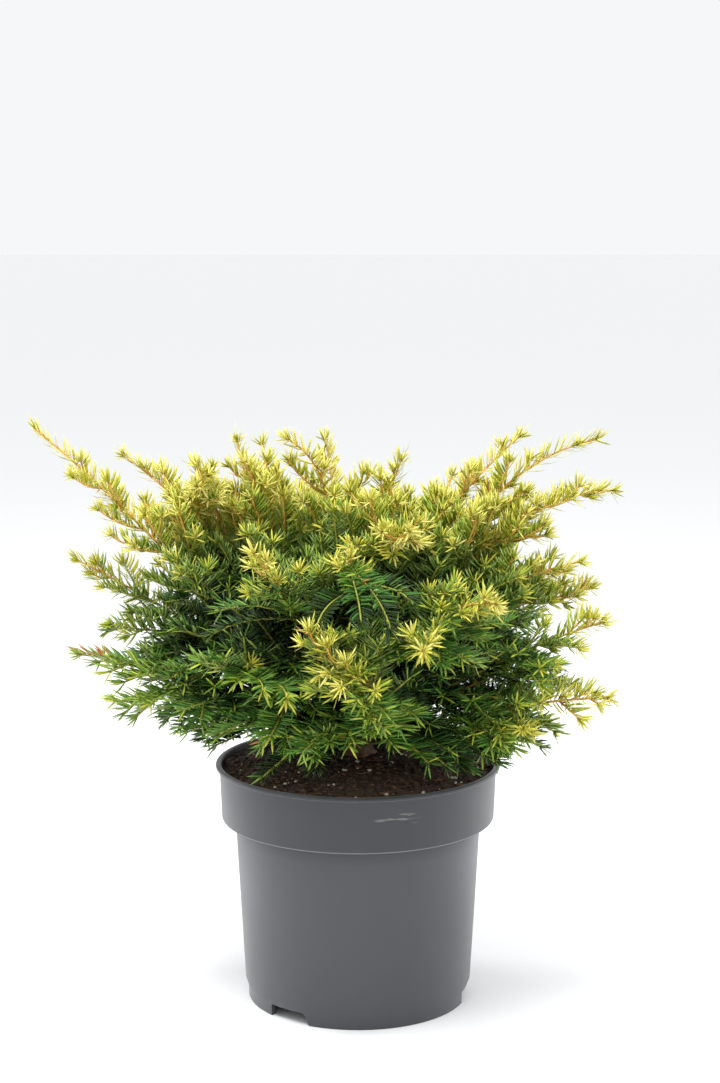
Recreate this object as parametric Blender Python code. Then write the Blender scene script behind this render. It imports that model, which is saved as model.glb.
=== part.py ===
"""A golden spreading English yew, standing in the round nursery pot that it grows in.

Metres, +Z up. The pot's foot stands on z = 0, and the origin lies under the middle of the whole
plant's spread. A short stem stands in the potting soil, out of sight. Boughs arch out of it at
every height, and each one ends in a mass of needled shoots that keeps to its own space.
"""

import math
import random
from collections import namedtuple

import bmesh
import bpy
import numpy as np
from mathutils import Matrix, Vector

# Gap between pieces that touch on the real plant
SEAT_GAP = 0.0003
SEAT_STEP = 0.0001

# The pot: a thin moulded wall that steps out to a collar under its lip
POT_AXIS = Vector((0.022, -0.016, 0.0))
POT_HEIGHT = 0.226
POT_SEGMENTS = 36
POT_WALL = 0.002
LIP_RADIUS = 0.134
LIP_DEPTH = 0.003
COLLAR_RADIUS_TOP = 0.1303
COLLAR_RADIUS_LOW = 0.1285
COLLAR_BOTTOM = 0.173
COLLAR_ROUNDING = 0.0025
WALL_RADIUS_TOP = 0.1157
WALL_RADIUS_LOW = 0.1072
FOOT_RADIUS = 0.1043
FOOT_WIDTH = 0.005
FOOT_STEP_LOW = 0.010
FOOT_STEP_HIGH = 0.018
BASE_UNDERSIDE = 0.012
BASE_THICKNESS = 0.002
NOTCH_COUNT = 3
NOTCH_AZIMUTH = 231
NOTCH_WIDTH = 0.040
NOTCH_FLARE = 0.008
NOTCH_HEIGHT = 0.0115

# The potting soil: fills the pot to just under its lip and mounds up to the stem
SOIL_EDGE_HEIGHT = 0.2215
SOIL_TOP_HEIGHT = 0.232
SOIL_FLAT_RADIUS = 0.021
SOIL_LUMP = 0.0018
SOIL_RINGS = 4
SOIL_SEGMENTS = 24

# The stem: leans a little and forks under the foliage
STEM_HEIGHT = 0.104
STEM_LEAN = Vector((-0.10, 0.05, 1.0))
STEM_RADIUS = 0.0105
STEM_TIP_RADIUS = 0.0065
FLARE_RADIUS = 0.018
FLARE_HEIGHT = 0.022
FLARE_LOBES = 5
FLARE_DIP = 0.4
STEM_SIDES = 15
STEM_RINGS = 9

# Limbs: a bough is the bare inner part of one, and its mass's leader is the rest
LOWEST_LIMB = 0.008
LIMB_RISE = 0.0012
BOUGH_CLEARANCE = 0.001
LEADER_ROOM = 0.003
BOUGH_SHARE = 0.28
BOUGH_RADIUS = 0.0036
BOUGH_TIP_RADIUS = 0.0021
BOUGH_STEP = 0.020
FINE_STEP = 0.004
HANDLE_SHARE = 0.38
STEEPEST_SIDE = 80
BOUGHLESS = ("skirt", "top_middle")

# The height above the floor that no shoot passes
CROWN_TOP = 0.552

# Shoots: slim three-sided twigs whose sides are drawn out into flat needles
SHOOT_STEP = 0.016
SHOOT_RADIUS = 0.0014
SHOOT_TIP_RADIUS = 0.0008
BARE_BASE = 1
FEWEST_SEGMENTS = 3
NEEDLE_LENGTH = 0.030
END_NEEDLE_SHARE = 0.55
NEEDLE_SWEEP = 24
TIP_SWEEP = 58
NEEDLE_FACES = ((0, 150), (2, 30))
NEEDLE_SAMPLES = (0.35, 0.7, 1.0)

# Side shoots: degrees off their leader, lengths near its foot and near its tip, and how they bend
SIDE_SHOOTS = 5
SIDE_ANGLE = 50
SIDE_ANGLE_JITTER = 8
SIDE_ROLL = 58
SPIRAL_TURN = 137.5
UPRIGHT_RISE = 55
SIDE_LENGTH_LOW = 0.106
SIDE_LENGTH_HIGH = 0.058
SIDE_LENGTH_JITTER = (0.88, 1.1)
SIDE_PLACE_JITTER = (0.15, 0.5)
SIDE_LIFT = (0, 0, 0.225)
SIDE_TURN_IN = 0.375
SIDE_TILT = 0.35
TWIN_LIFT = (0, 0, 0.02)

# Room between a shoot and other twigs, the next mass, a bough, and the pot and its soil
TWIG_ROOM = 0.005
SPACE_MARGIN = 0.0012
LIMB_MARGIN = 0.0022
POT_MARGIN = 0.003

# Where each limb ends, round the pot's axis: azimuth in degrees from +X to +Y, reach and height,
# then its rise in degrees where it leaves the stem and at its tip, and the tip of its twin shoot
Limb = namedtuple("Limb", "name azimuth reach height leaves ends twin tone")
LIMBS = (
    Limb("left_long", 176, 0.310, 0.545, 30, 38, None, "gold"),
    Limb("left_high", 163, 0.242, 0.513, 45, 32, (166, 0.162, 0.512), "gold"),
    Limb("left_middle", 170, 0.280, 0.414, 22, 24, (177, 0.242, 0.358), "lime"),
    Limb("left_low", 185, 0.268, 0.334, 14, 6, (195, 0.238, 0.299), "green"),
    Limb("top_left", 172, 0.115, 0.537, 58, 80, (142, 0.118, 0.528), "gold"),
    Limb("top_middle", 140, 0.042, 0.538, 84, 76, None, "gold"),
    Limb("top_right", -30, 0.051, 0.524, 72, 62, (288, 0.150, 0.470), "gold"),
    Limb("right_upright", 24, 0.177, 0.532, 62, 36, (45, 0.134, 0.494), "gold"),
    Limb("right_high", 8, 0.236, 0.529, 48, 8, None, "gold"),
    Limb("right_upper", -5, 0.244, 0.486, 46, 0, None, "gold"),
    Limb("right_middle", -12, 0.216, 0.425, 34, 10, (-3, 0.226, 0.398), "gold"),
    Limb("right_lower", -18, 0.242, 0.376, 20, 18, None, "lime"),
    Limb("right_low", -22, 0.253, 0.308, 8, 4, (-31, 0.190, 0.277), "lime"),
    Limb("front_right", 303, 0.226, 0.410, 40, 2, (284, 0.229, 0.378), "gold"),
    Limb("front_middle", 264, 0.190, 0.384, 36, 30, None, "lime"),
    Limb("front_left", 241, 0.192, 0.457, 44, 42, None, "gold"),
    Limb("front_left_low", 226, 0.205, 0.352, 18, 8, None, "green"),
    Limb("front_centre", 267, 0.128, 0.446, 58, 46, None, "lime"),
    Limb("front_low", 277, 0.182, 0.306, 12, -8, None, "green"),
)
BACK_HIGH_AZIMUTHS = (62, 92, 122)
BACK_HIGH_REACH = 0.215
BACK_HIGH_HEIGHT = 0.495
BACK_LOW_AZIMUTHS = (36, 72, 108, 146)
BACK_LOW_REACH = 0.235
BACK_LOW_HEIGHT = 0.362
SKIRT_AZIMUTHS = (229, 253, 299, 326, 58, 128)
SKIRT_REACH = 0.136
SKIRT_HEIGHT = 0.245
BACK_JITTER = 0.06
SEED = 11

# Colours as the eye sees them, 0 to 255
POT_GREY = (74, 76, 82)
SOIL_BROWN = (50, 42, 33)
BARK_BROWN = (124, 88, 58)
NEEDLE_TONES = {"gold": (186, 184, 70), "lime": (118, 137, 50), "green": (58, 84, 36)}


def linear(eight_bit):
    """A colour as the eye sees it, as the linear value that a shader takes."""
    shares = (value / 255 for value in eight_bit)
    return tuple(s / 12.92 if s <= 0.04045 else ((s + 0.055) / 1.055) ** 2.4 for s in shares)


def material(name, eight_bit, roughness, metallic=0.0):
    made = bpy.data.materials.new(name)
    made.use_nodes = True
    shader = made.node_tree.nodes["Principled BSDF"]
    shader.inputs["Base Color"].default_value = (*linear(eight_bit), 1.0)
    shader.inputs["Roughness"].default_value = roughness
    shader.inputs["Metallic"].default_value = metallic
    made.diffuse_color = (*linear(eight_bit), 1.0)
    return made


def around(azimuth):
    """The unit vector that points outwards at this azimuth, in degrees."""
    turn = math.radians(azimuth)
    return Vector((math.cos(turn), math.sin(turn), 0.0))


def rising(azimuth, rise):
    """The unit vector at this azimuth and rise, both in degrees."""
    slope = math.radians(rise)
    return around(azimuth) * math.cos(slope) + Vector((0, 0, math.sin(slope)))


def place(obj, finish, plant, at=Vector((0.0, 0.0, 0.0)), smooth_degrees=None):
    """Links the object under the plant's empty, gives it its finish and shades it."""
    bpy.context.scene.collection.objects.link(obj)
    obj.parent = plant
    obj.location = at
    obj.data.materials.clear()
    obj.data.materials.append(finish)
    if smooth_degrees is not None:
        obj.data.shade_smooth()
        obj.data.set_sharp_from_angle(angle=math.radians(smooth_degrees))
    return obj


def apply_modifiers(obj):
    """Makes the object's evaluated mesh its own."""
    bpy.context.view_layer.update()
    evaluated = obj.evaluated_get(bpy.context.evaluated_depsgraph_get())
    solid = bpy.data.meshes.new_from_object(evaluated)
    obj.modifiers.clear()
    obj.data = solid


# The pot


def pot_profile():
    """Radius and height from the inside of the base, up over the lip and down to the foot."""
    inner_low = WALL_RADIUS_LOW - POT_WALL
    inner_top = WALL_RADIUS_TOP - POT_WALL
    base_top = BASE_UNDERSIDE + BASE_THICKNESS
    lip_low = POT_HEIGHT - LIP_DEPTH
    return (
        (0.0, base_top),
        (FOOT_RADIUS - POT_WALL, base_top),
        (inner_low, FOOT_STEP_HIGH + POT_WALL / 2),
        (inner_top, COLLAR_BOTTOM + POT_WALL / 2),
        (COLLAR_RADIUS_LOW - POT_WALL, COLLAR_BOTTOM + POT_WALL),
        (COLLAR_RADIUS_TOP - POT_WALL, POT_HEIGHT - LIP_DEPTH / 3),
        (COLLAR_RADIUS_TOP - POT_WALL / 2, POT_HEIGHT),
        (LIP_RADIUS - LIP_DEPTH / 3, POT_HEIGHT),
        (LIP_RADIUS, POT_HEIGHT - LIP_DEPTH / 3),
        (LIP_RADIUS, lip_low),
        (COLLAR_RADIUS_TOP, lip_low - LIP_DEPTH / 3),
        (COLLAR_RADIUS_LOW, COLLAR_BOTTOM + COLLAR_ROUNDING),
        (COLLAR_RADIUS_LOW - COLLAR_ROUNDING, COLLAR_BOTTOM),
        (WALL_RADIUS_TOP, COLLAR_BOTTOM - POT_WALL),
        (WALL_RADIUS_LOW, FOOT_STEP_HIGH),
        (FOOT_RADIUS, FOOT_STEP_LOW),
        (FOOT_RADIUS, 0.0),
        (FOOT_RADIUS - FOOT_WIDTH, 0.0),
        (FOOT_RADIUS - FOOT_WIDTH, BASE_UNDERSIDE),
        (0.0, BASE_UNDERSIDE),
    )


def notch_cutter(azimuth):
    """A drain notch in the foot: one side upright, the other one flared."""
    half = NOTCH_WIDTH / 2
    outline = (
        (-half, -NOTCH_HEIGHT / 2),
        (half + NOTCH_FLARE, -NOTCH_HEIGHT / 2),
        (half, NOTCH_HEIGHT * 0.75),
        (half - NOTCH_HEIGHT / 4, NOTCH_HEIGHT),
        (-half, NOTCH_HEIGHT),
    )
    outwards = around(azimuth)
    sideways = around(azimuth + 90)
    shape = bmesh.new()
    near = FOOT_RADIUS - 3 * FOOT_WIDTH
    far = FOOT_RADIUS + 2 * FOOT_WIDTH
    corners = [
        shape.verts.new(outwards * near + sideways * across + Vector((0, 0, height)))
        for across, height in outline
    ]
    face = shape.faces.new(corners)
    grown = bmesh.ops.extrude_face_region(shape, geom=[face])
    moved = [item for item in grown["geom"] if isinstance(item, bmesh.types.BMVert)]
    bmesh.ops.translate(shape, verts=moved, vec=outwards * (far - near))
    bmesh.ops.recalc_face_normals(shape, faces=shape.faces)
    mesh = bpy.data.meshes.new(f"notch_{azimuth}")
    shape.to_mesh(mesh)
    shape.free()
    return bpy.data.objects.new(mesh.name, mesh)


def build_pot(plant):
    profile = bpy.data.meshes.new("pot")
    points = [(radius, 0.0, height) for radius, height in pot_profile()]
    profile.from_pydata(points, [(i, i + 1) for i in range(len(points) - 1)], [])
    pot = bpy.data.objects.new("pot", profile)
    place(pot, material("pot_plastic", POT_GREY, 0.46), plant, smooth_degrees=34)
    turned = pot.modifiers.new("turned", "SCREW")
    turned.steps = turned.render_steps = POT_SEGMENTS
    turned.use_merge_vertices = True
    turned.merge_threshold = 0.0001
    turned.use_smooth_shade = True
    for turn in range(NOTCH_COUNT):
        cutter = notch_cutter(round(NOTCH_AZIMUTH + turn * 360 / NOTCH_COUNT) % 360)
        bpy.context.scene.collection.objects.link(cutter)
        cutter.parent = plant
        cutter.hide_render = True
        cutter.display_type = "WIRE"
        cut = pot.modifiers.new("drain_notch", "BOOLEAN")
        cut.operation = "DIFFERENCE"
        cut.object = cutter
    return pot


# The soil and the stem


def ringed_object(name, rings):
    """A closed solid through rings of points, with as many points in each, capped at both ends."""
    shape = bmesh.new()
    loops = [[shape.verts.new(point) for point in ring] for ring in rings]
    for lower, upper in zip(loops, loops[1:]):
        for step, corner in enumerate(lower):
            after = (step + 1) % len(lower)
            shape.faces.new((corner, lower[after], upper[after], upper[step]))
    shape.faces.new(loops[0])
    shape.faces.new(loops[-1])
    bmesh.ops.recalc_face_normals(shape, faces=shape.faces)
    mesh = bpy.data.meshes.new(name)
    shape.to_mesh(mesh)
    shape.free()
    return bpy.data.objects.new(name, mesh)


def soil_height(radius):
    """Height of the soil's surface at this distance from the pot's axis, without its lumps."""
    share = (radius - SOIL_FLAT_RADIUS) / (COLLAR_RADIUS_TOP - SOIL_FLAT_RADIUS)
    fall = (1 - math.cos(math.pi * min(max(share, 0), 1))) / 2
    return SOIL_TOP_HEIGHT + (SOIL_EDGE_HEIGHT - SOIL_TOP_HEIGHT) * fall


def build_soil(plant):
    lumps = random.Random(SEED)
    gap = POT_WALL + 2 * SEAT_GAP
    profile = [
        (FOOT_RADIUS - gap, BASE_UNDERSIDE + BASE_THICKNESS + SEAT_GAP),
        (WALL_RADIUS_LOW - gap, FOOT_STEP_HIGH + POT_WALL),
        (WALL_RADIUS_TOP - gap, COLLAR_BOTTOM + POT_WALL),
        (COLLAR_RADIUS_LOW - gap, COLLAR_BOTTOM + POT_WALL + 2 * SEAT_GAP),
        (COLLAR_RADIUS_TOP - gap - SEAT_GAP, SOIL_EDGE_HEIGHT),
    ]
    side_rings = len(profile)
    widest = profile[-1][0]
    for ring in range(1, SOIL_RINGS + 1):
        radius = widest + (SOIL_FLAT_RADIUS - widest) * ring / SOIL_RINGS
        profile.append((radius, soil_height(radius)))
    rings = []
    for index, (radius, height) in enumerate(profile):
        lump = SOIL_LUMP if side_rings <= index < len(profile) - 1 else 0
        rings.append(
            [
                around(360 * step / SOIL_SEGMENTS) * radius
                + Vector((0, 0, height + lumps.uniform(-lump, lump)))
                for step in range(SOIL_SEGMENTS)
            ]
        )
    soil = ringed_object("soil", rings)
    return place(soil, material("potting_soil", SOIL_BROWN, 0.95), plant, smooth_degrees=50)


def stem_point(height):
    """The middle of the stem at this height above its foot."""
    return Vector((0, 0, SOIL_TOP_HEIGHT + SEAT_GAP)) + STEM_LEAN * height


def stem_radius(height, azimuth):
    """The stem narrows upwards, and spreads to its roots at the foot in lobes."""
    plain = STEM_RADIUS + (STEM_TIP_RADIUS - STEM_RADIUS) * height / STEM_HEIGHT
    spread = max(0.0, 1 - height / FLARE_HEIGHT) ** 2
    lobe = 1 - FLARE_DIP / 2 * (1 - math.cos(math.radians(azimuth * FLARE_LOBES)))
    return plain + (FLARE_RADIUS - STEM_RADIUS) * spread * lobe


def build_stem(plant, bark):
    rings = []
    for level in range(STEM_RINGS + 1):
        height = STEM_HEIGHT * (level / STEM_RINGS) ** 1.3
        turns = [360 * side / STEM_SIDES for side in range(STEM_SIDES)]
        rings.append([stem_point(height) + around(turn) * stem_radius(height, turn) for turn in turns])
    return place(ringed_object("stem", rings), bark, plant, smooth_degrees=40)


# Routes: every limb is one smooth curve from the stem to its tip


def unit(vectors):
    """Each row made one long."""
    return vectors / np.linalg.norm(vectors, axis=-1, keepdims=True)


def curve(ends, leaving, arriving, steps=60):
    """Points of a smooth curve between two ends that leaves and arrives in these directions."""
    first, last = np.array(ends[0]), np.array(ends[1])
    handle = HANDLE_SHARE * np.linalg.norm(last - first)
    bones = (first, first + handle * np.array(leaving), last - handle * np.array(arriving), last)
    shares = np.linspace(0, 1, steps)[:, None]
    left = 1 - shares
    weights = (left**3, 3 * shares * left**2, 3 * shares**2 * left, shares**3)
    return sum(weight * bone for weight, bone in zip(weights, bones))


def stretch(points, start, end, step):
    """Evenly spaced points from one length along the route to another, about a step apart."""
    along = np.concatenate(([0], np.cumsum(np.linalg.norm(np.diff(points, axis=0), axis=1))))
    count = max(1, round((end - start) / step))
    places = np.linspace(start, end, count + 1)
    return np.stack([np.interp(places, along, points[:, axis]) for axis in range(3)], axis=1)


def length_of(points):
    return float(np.linalg.norm(np.diff(points, axis=0), axis=1).sum())


def gap_to_stem(point):
    """How far a point is from the stem's side, measured level."""
    height = point.z - stem_point(0).z
    off = point - stem_point(height)
    return off.length - stem_radius(height, math.degrees(math.atan2(off.y, off.x)))


def has_bough(limb):
    """The low skirt shoots and the middle one grow straight from the stem."""
    return not limb.name.startswith(BOUGHLESS)


def limb_route(limb, height):
    """The limb's whole curve, from 0.3 mm off the stem to its tip."""
    leaving = rising(limb.azimuth, limb.leaves)
    if limb.leaves > STEEPEST_SIDE:
        start = stem_point(STEM_HEIGHT) + STEM_LEAN * SEAT_GAP
        leaving = STEM_LEAN.normalized()
    else:
        level = around(limb.azimuth + 90)
        turns = (math.radians(turn) for turn in range(0, 360, 45))
        steep = leaving.cross(level)
        radius = BOUGH_RADIUS if has_bough(limb) else BOUGH_TIP_RADIUS
        rim = [radius * (math.cos(t) * level + math.sin(t) * steep) for t in turns]
        start = stem_point(height)
        while min(gap_to_stem(start + corner) for corner in rim) < SEAT_GAP:
            start = start + leaving * SEAT_STEP
    tip = around(limb.azimuth) * limb.reach + Vector((0, 0, limb.height))
    return curve((start, tip), leaving, rising(limb.azimuth, limb.ends))


def all_limbs():
    """The limbs of the photographed side, then those of the back and the skirt by rule."""
    chance = random.Random(SEED)

    def about(size):
        return size * (1 + chance.uniform(-BACK_JITTER, BACK_JITTER))

    limbs = list(LIMBS)
    for number, azimuth in enumerate(BACK_HIGH_AZIMUTHS, 1):
        reach, height = about(BACK_HIGH_REACH), about(BACK_HIGH_HEIGHT)
        limbs.append(Limb(f"back_high_{number}", azimuth, reach, height, 48, 34, None, "gold"))
    for number, azimuth in enumerate(BACK_LOW_AZIMUTHS, 1):
        reach, height = about(BACK_LOW_REACH), about(BACK_LOW_HEIGHT)
        limbs.append(Limb(f"back_low_{number}", azimuth, reach, height, 20, 12, None, "lime"))
    for number, azimuth in enumerate(SKIRT_AZIMUTHS, 1):
        reach, height = about(SKIRT_REACH), about(SKIRT_HEIGHT)
        limbs.append(Limb(f"skirt_{number}", azimuth, reach, height, 16, -28, None, "green"))
    return limbs


# The boughs


def bough_of(route, step):
    """Points and radii of the limb's bare inner part."""
    points = stretch(route, 0, BOUGH_SHARE * length_of(route), step)
    return points, np.linspace(BOUGH_RADIUS, BOUGH_TIP_RADIUS, len(points))


def body_of(route):
    """Points and radii of the whole limb: its bough, then room for the foot of its needles."""
    points, radii = bough_of(route, FINE_STEP)
    rest = stretch(route, BOUGH_SHARE * length_of(route), length_of(route), FINE_STEP)
    return np.concatenate((points, rest)), np.concatenate((radii, np.full(len(rest), LEADER_ROOM)))


def clear_of(limb, others):
    """Whether a limb passes every other one with room to spare."""
    points, radii = limb
    for other_points, other_radii in others:
        gaps = np.linalg.norm(points[:, None] - other_points, axis=2) - radii[:, None] - other_radii
        if gaps.min() < BOUGH_CLEARANCE:
            return False
    return True


def limb_layout():
    """Each limb with its route. The flatter a limb lies, the lower it leaves the stem, and it
    leaves a little higher where it would touch one below it."""
    limbs = all_limbs()
    height = LOWEST_LIMB
    routes, bodies = {}, []
    for limb in sorted(limbs, key=lambda limb: math.atan2(limb.height - SOIL_TOP_HEIGHT, limb.reach)):
        route = limb_route(limb, height)
        while not clear_of(body_of(route), bodies) and height < STEM_HEIGHT:
            height += LIMB_RISE
            route = limb_route(limb, height)
        routes[limb.name] = route
        bodies.append(body_of(route))
        height += LIMB_RISE
    return [(limb, routes[limb.name]) for limb in limbs]


def build_bough(limb, route, plant, bark):
    """One tapering limb, round in section, that ends where it enters its mass."""
    points, radii = bough_of(route, BOUGH_STEP)
    line = bpy.data.curves.new(f"bough_{limb.name}", "CURVE")
    line.dimensions = "3D"
    line.bevel_depth = 1.0
    line.bevel_resolution = 1
    line.use_fill_caps = True
    spline = line.splines.new("POLY")
    spline.points.add(len(points) - 1)
    for knot, point, radius in zip(spline.points, points - points[0], radii):
        knot.co = (*point, 1.0)
        knot.radius = radius
    return place(bpy.data.objects.new(line.name, line), bark, plant, at=Vector(points[0]))


# The masses: shoots of needles that branch from one leader

Shoot = namedtuple("Shoot", "points across radii bare")


def frames(points, across):
    """Unit vectors along, across and up out of a route at each of its points."""
    along = unit(np.gradient(points, axis=0))
    across = np.array(across) - (np.array(across) * along).sum(axis=1, keepdims=True) * along
    across = unit(across)
    return along, across, np.cross(along, across)


def shoot(points, across, radius=SHOOT_RADIUS, bare=BARE_BASE):
    return Shoot(points, across, np.linspace(radius, SHOOT_TIP_RADIUS, len(points)), bare)


def needles_of(twig):
    """Segment, face, root and tip of each needle. They lean further forward towards the shoot's tip."""
    along, across, up = frames(twig.points, twig.across)
    segments = len(twig.points) - 1
    found = []
    for segment in range(twig.bare, segments):
        share = (segment + 0.5) / segments
        sweep = math.radians(NEEDLE_SWEEP + (TIP_SWEEP - NEEDLE_SWEEP) * share**3)
        swell = math.sin(math.pi * share) ** 0.6
        length = NEEDLE_LENGTH * (END_NEEDLE_SHARE + (1 - END_NEEDLE_SHARE) * swell)
        middle = (twig.points[segment] + twig.points[segment + 1]) / 2
        for face, turn in NEEDLE_FACES:
            turn = math.radians(turn)
            out = across[segment] * math.cos(turn) + up[segment] * math.sin(turn)
            tip = middle + length * (math.cos(sweep) * out + math.sin(sweep) * along[segment])
            found.append((segment, face, middle, tip))
    return found


def shoot_object(name, twig, needles):
    """A three-sided twig along the route. Each face that bears a needle is poked and drawn out to its
    tip, and so is the twig's end."""
    along, across, up = frames(twig.points, twig.across)
    shape = bmesh.new()
    rings = []
    for point, right, high, radius in zip(twig.points, across, up, twig.radii):
        turns = [math.radians(turn) for turn in (90, 210, 330)]
        rings.append(
            [shape.verts.new(point + radius * (math.cos(t) * right + math.sin(t) * high)) for t in turns]
        )
    sides = {}
    for segment, (lower, upper) in enumerate(zip(rings, rings[1:])):
        for face in range(3):
            after = (face + 1) % 3
            corners = (lower[face], lower[after], upper[after], upper[face])
            sides[segment, face] = shape.faces.new(corners)
    shape.faces.new(rings[0])
    end = shape.faces.new(rings[-1])
    drawn = [(end, twig.points[-1] + along[-1] * NEEDLE_LENGTH * END_NEEDLE_SHARE)]
    drawn += [(sides[segment, face], tip) for segment, face, _, tip in needles]
    poked = bmesh.ops.poke(shape, faces=[face for face, _ in drawn])["verts"]
    for vertex, (_, tip) in zip(poked, drawn):
        vertex.co = tip
    bmesh.ops.triangulate(shape, faces=shape.faces)
    bmesh.ops.recalc_face_normals(shape, faces=shape.faces)
    mesh = bpy.data.meshes.new(name)
    shape.to_mesh(mesh)
    shape.free()
    return bpy.data.objects.new(name, mesh)


class Space:
    """Which mass each point belongs to, and whether it is clear of the boughs, the pot and the soil."""

    def __init__(self, axes, boughs):
        self.axes = axes
        self.limbs = np.concatenate([points for points, _ in boughs])
        self.limb_radii = np.concatenate([radii for _, radii in boughs])

    def holds(self, owner, point):
        gaps = {name: np.linalg.norm(axis - point, axis=1).min() for name, axis in self.axes.items()}
        own = gaps.pop(owner)
        if own + 2 * SPACE_MARGIN > min(gaps.values()):
            return False
        if (np.linalg.norm(self.limbs - point, axis=1) < self.limb_radii + LIMB_MARGIN).any():
            return False
        radius = math.hypot(point[0], point[1])
        if point[2] > CROWN_TOP:
            return False
        if radius > LIP_RADIUS + POT_MARGIN:
            return True
        return point[2] > max(POT_HEIGHT, soil_height(radius) + SOIL_LUMP) + POT_MARGIN

    def needles(self, owner, twig, others):
        """The shoot's needles that stay in its mass's space and clear of the mass's other twigs."""
        kept = []
        for needle in needles_of(twig):
            root, tip = needle[2:]
            samples = [root + (tip - root) * share for share in NEEDLE_SAMPLES]
            crowded = any(
                np.linalg.norm(other - sample, axis=1).min() < TWIG_ROOM
                for other in others
                for sample in samples
            )
            if not crowded and all(self.holds(owner, sample) for sample in samples):
                kept.append(needle)
        return kept

    def trimmed(self, owner, points):
        """The route up to where it would leave the space."""
        for count, point in enumerate(points[1:], 1):
            if not self.holds(owner, point):
                return points[:count]
        return points


def side_routes(leader, across, upright, count, chance):
    """Shoots that leave the leader to the left and right in turn, or all round it if it is upright."""
    along, across, up = frames(leader, across)
    segments = len(leader) - 1
    for number in range(count):
        share = (number + chance.uniform(*SIDE_PLACE_JITTER)) / count
        joint = min(segments - 1, 1 + round(share * (segments - 2)))
        if upright:
            turn = math.radians(SPIRAL_TURN * number)
        else:
            turn = math.radians(180 * (number % 2) + chance.uniform(-SIDE_ROLL, SIDE_ROLL))
        out = across[joint] * math.cos(turn) + up[joint] * math.sin(turn)
        angle = math.radians(SIDE_ANGLE + chance.uniform(-SIDE_ANGLE_JITTER, SIDE_ANGLE_JITTER))
        first = along[joint] * math.cos(angle) + out * math.sin(angle)
        last = unit(first + SIDE_TURN_IN * along[joint] + np.array(SIDE_LIFT))
        length = SIDE_LENGTH_LOW + (SIDE_LENGTH_HIGH - SIDE_LENGTH_LOW) * share
        length *= chance.uniform(*SIDE_LENGTH_JITTER)
        steps = max(FEWEST_SEGMENTS, round(length / SHOOT_STEP))
        blend = np.linspace(0, 1, steps)[:, None]
        moves = unit(first * (1 - blend) + last * blend) * SHOOT_STEP
        points = leader[joint] + np.concatenate((np.zeros((1, 3)), np.cumsum(moves, axis=0)))
        yield points, np.cross((0, 0, 1), first) + SIDE_TILT * across[joint]


def leader_of(limb, route):
    """The needled outer part of the limb, 0.3 mm off its bough. Its last needle ends at the tip."""
    start = BOUGH_SHARE * length_of(route) + SEAT_GAP if has_bough(limb) else 0
    return stretch(route, start, length_of(route) - NEEDLE_LENGTH * END_NEEDLE_SHARE, SHOOT_STEP)


def twin_of(limb, leader):
    """The second long shoot of a forked mass, which leaves the leader near its foot."""
    azimuth, reach, height = limb.twin
    joint = max(1, len(leader) // 5)
    tip = around(azimuth) * reach + Vector((0, 0, height))
    leaving = unit(np.gradient(leader, axis=0))[joint]
    arriving = unit(np.array(tip) - leader[joint] + np.array(TWIN_LIFT))
    route = curve((leader[joint], tip), unit(leaving + arriving), arriving)
    return stretch(route, 0, length_of(route) - NEEDLE_LENGTH * END_NEEDLE_SHARE, SHOOT_STEP)


def main_body(mesh):
    """Keeps the largest of the mesh's bodies: scraps go, and a hollow that fusing sealed is filled."""
    shape = bmesh.new()
    shape.from_mesh(mesh)
    left = set(shape.faces)
    bodies = []
    while left:
        body, edge = set(), [left.pop()]
        while edge:
            face = edge.pop()
            body.add(face)
            near = {other for side in face.edges for other in side.link_faces} & left
            left -= near
            edge.extend(near)
        bodies.append(body)
    largest = max(bodies, key=len)
    spare = [face for body in bodies if body is not largest for face in body]
    bmesh.ops.delete(shape, geom=spare, context="FACES")
    shape.to_mesh(mesh)
    shape.free()


def fused(name, pieces):
    """Joins the shoots by one Boolean union on a collection, and removes them."""
    base, *others = pieces
    base.name = name
    bpy.context.scene.collection.objects.link(base)
    joined = bpy.data.collections.new(f"{name}_shoots")
    bpy.context.scene.collection.children.link(joined)
    for other in others:
        joined.objects.link(other)
    union = base.modifiers.new("fused", "BOOLEAN")
    union.operation = "UNION"
    union.operand_type = "COLLECTION"
    union.collection = joined
    apply_modifiers(base)
    for other in others:
        bpy.data.objects.remove(other)
    bpy.data.collections.remove(joined)
    bpy.context.scene.collection.objects.unlink(base)
    main_body(base.data)
    return base


def build_mass(limb, leader, twin, space, plant, finish, chance):
    """A leader, its twin if it forks, and side shoots, in the mass's own space."""
    left = around(limb.azimuth + 90)
    twigs = [shoot(leader, left, radius=BOUGH_TIP_RADIUS)]
    stems = [(leader, SIDE_SHOOTS)]
    if twin is not None:
        twigs.append(shoot(twin, left))
        stems = [(leader, SIDE_SHOOTS - 1), (twin, SIDE_SHOOTS // 2)]
    for stem, count in stems:
        for points, across in side_routes(stem, left, limb.ends > UPRIGHT_RISE, count, chance):
            points = space.trimmed(limb.name, points)
            if len(points) > FEWEST_SEGMENTS:
                twigs.append(shoot(points, across))
    courses = [stretch(twig.points, 0, length_of(twig.points), FINE_STEP) for twig in twigs]
    pieces = []
    for number, twig in enumerate(twigs):
        others = courses[:number] + courses[number + 1 :]
        needles = space.needles(limb.name, twig, others)
        pieces.append(shoot_object(f"{limb.name}_{number}", twig, needles))
    start = Vector(leader[0])
    mass = fused(f"mass_{limb.name}", pieces)
    mass.data.transform(Matrix.Translation(-start))
    return place(mass, finish, plant, at=start)


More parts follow.
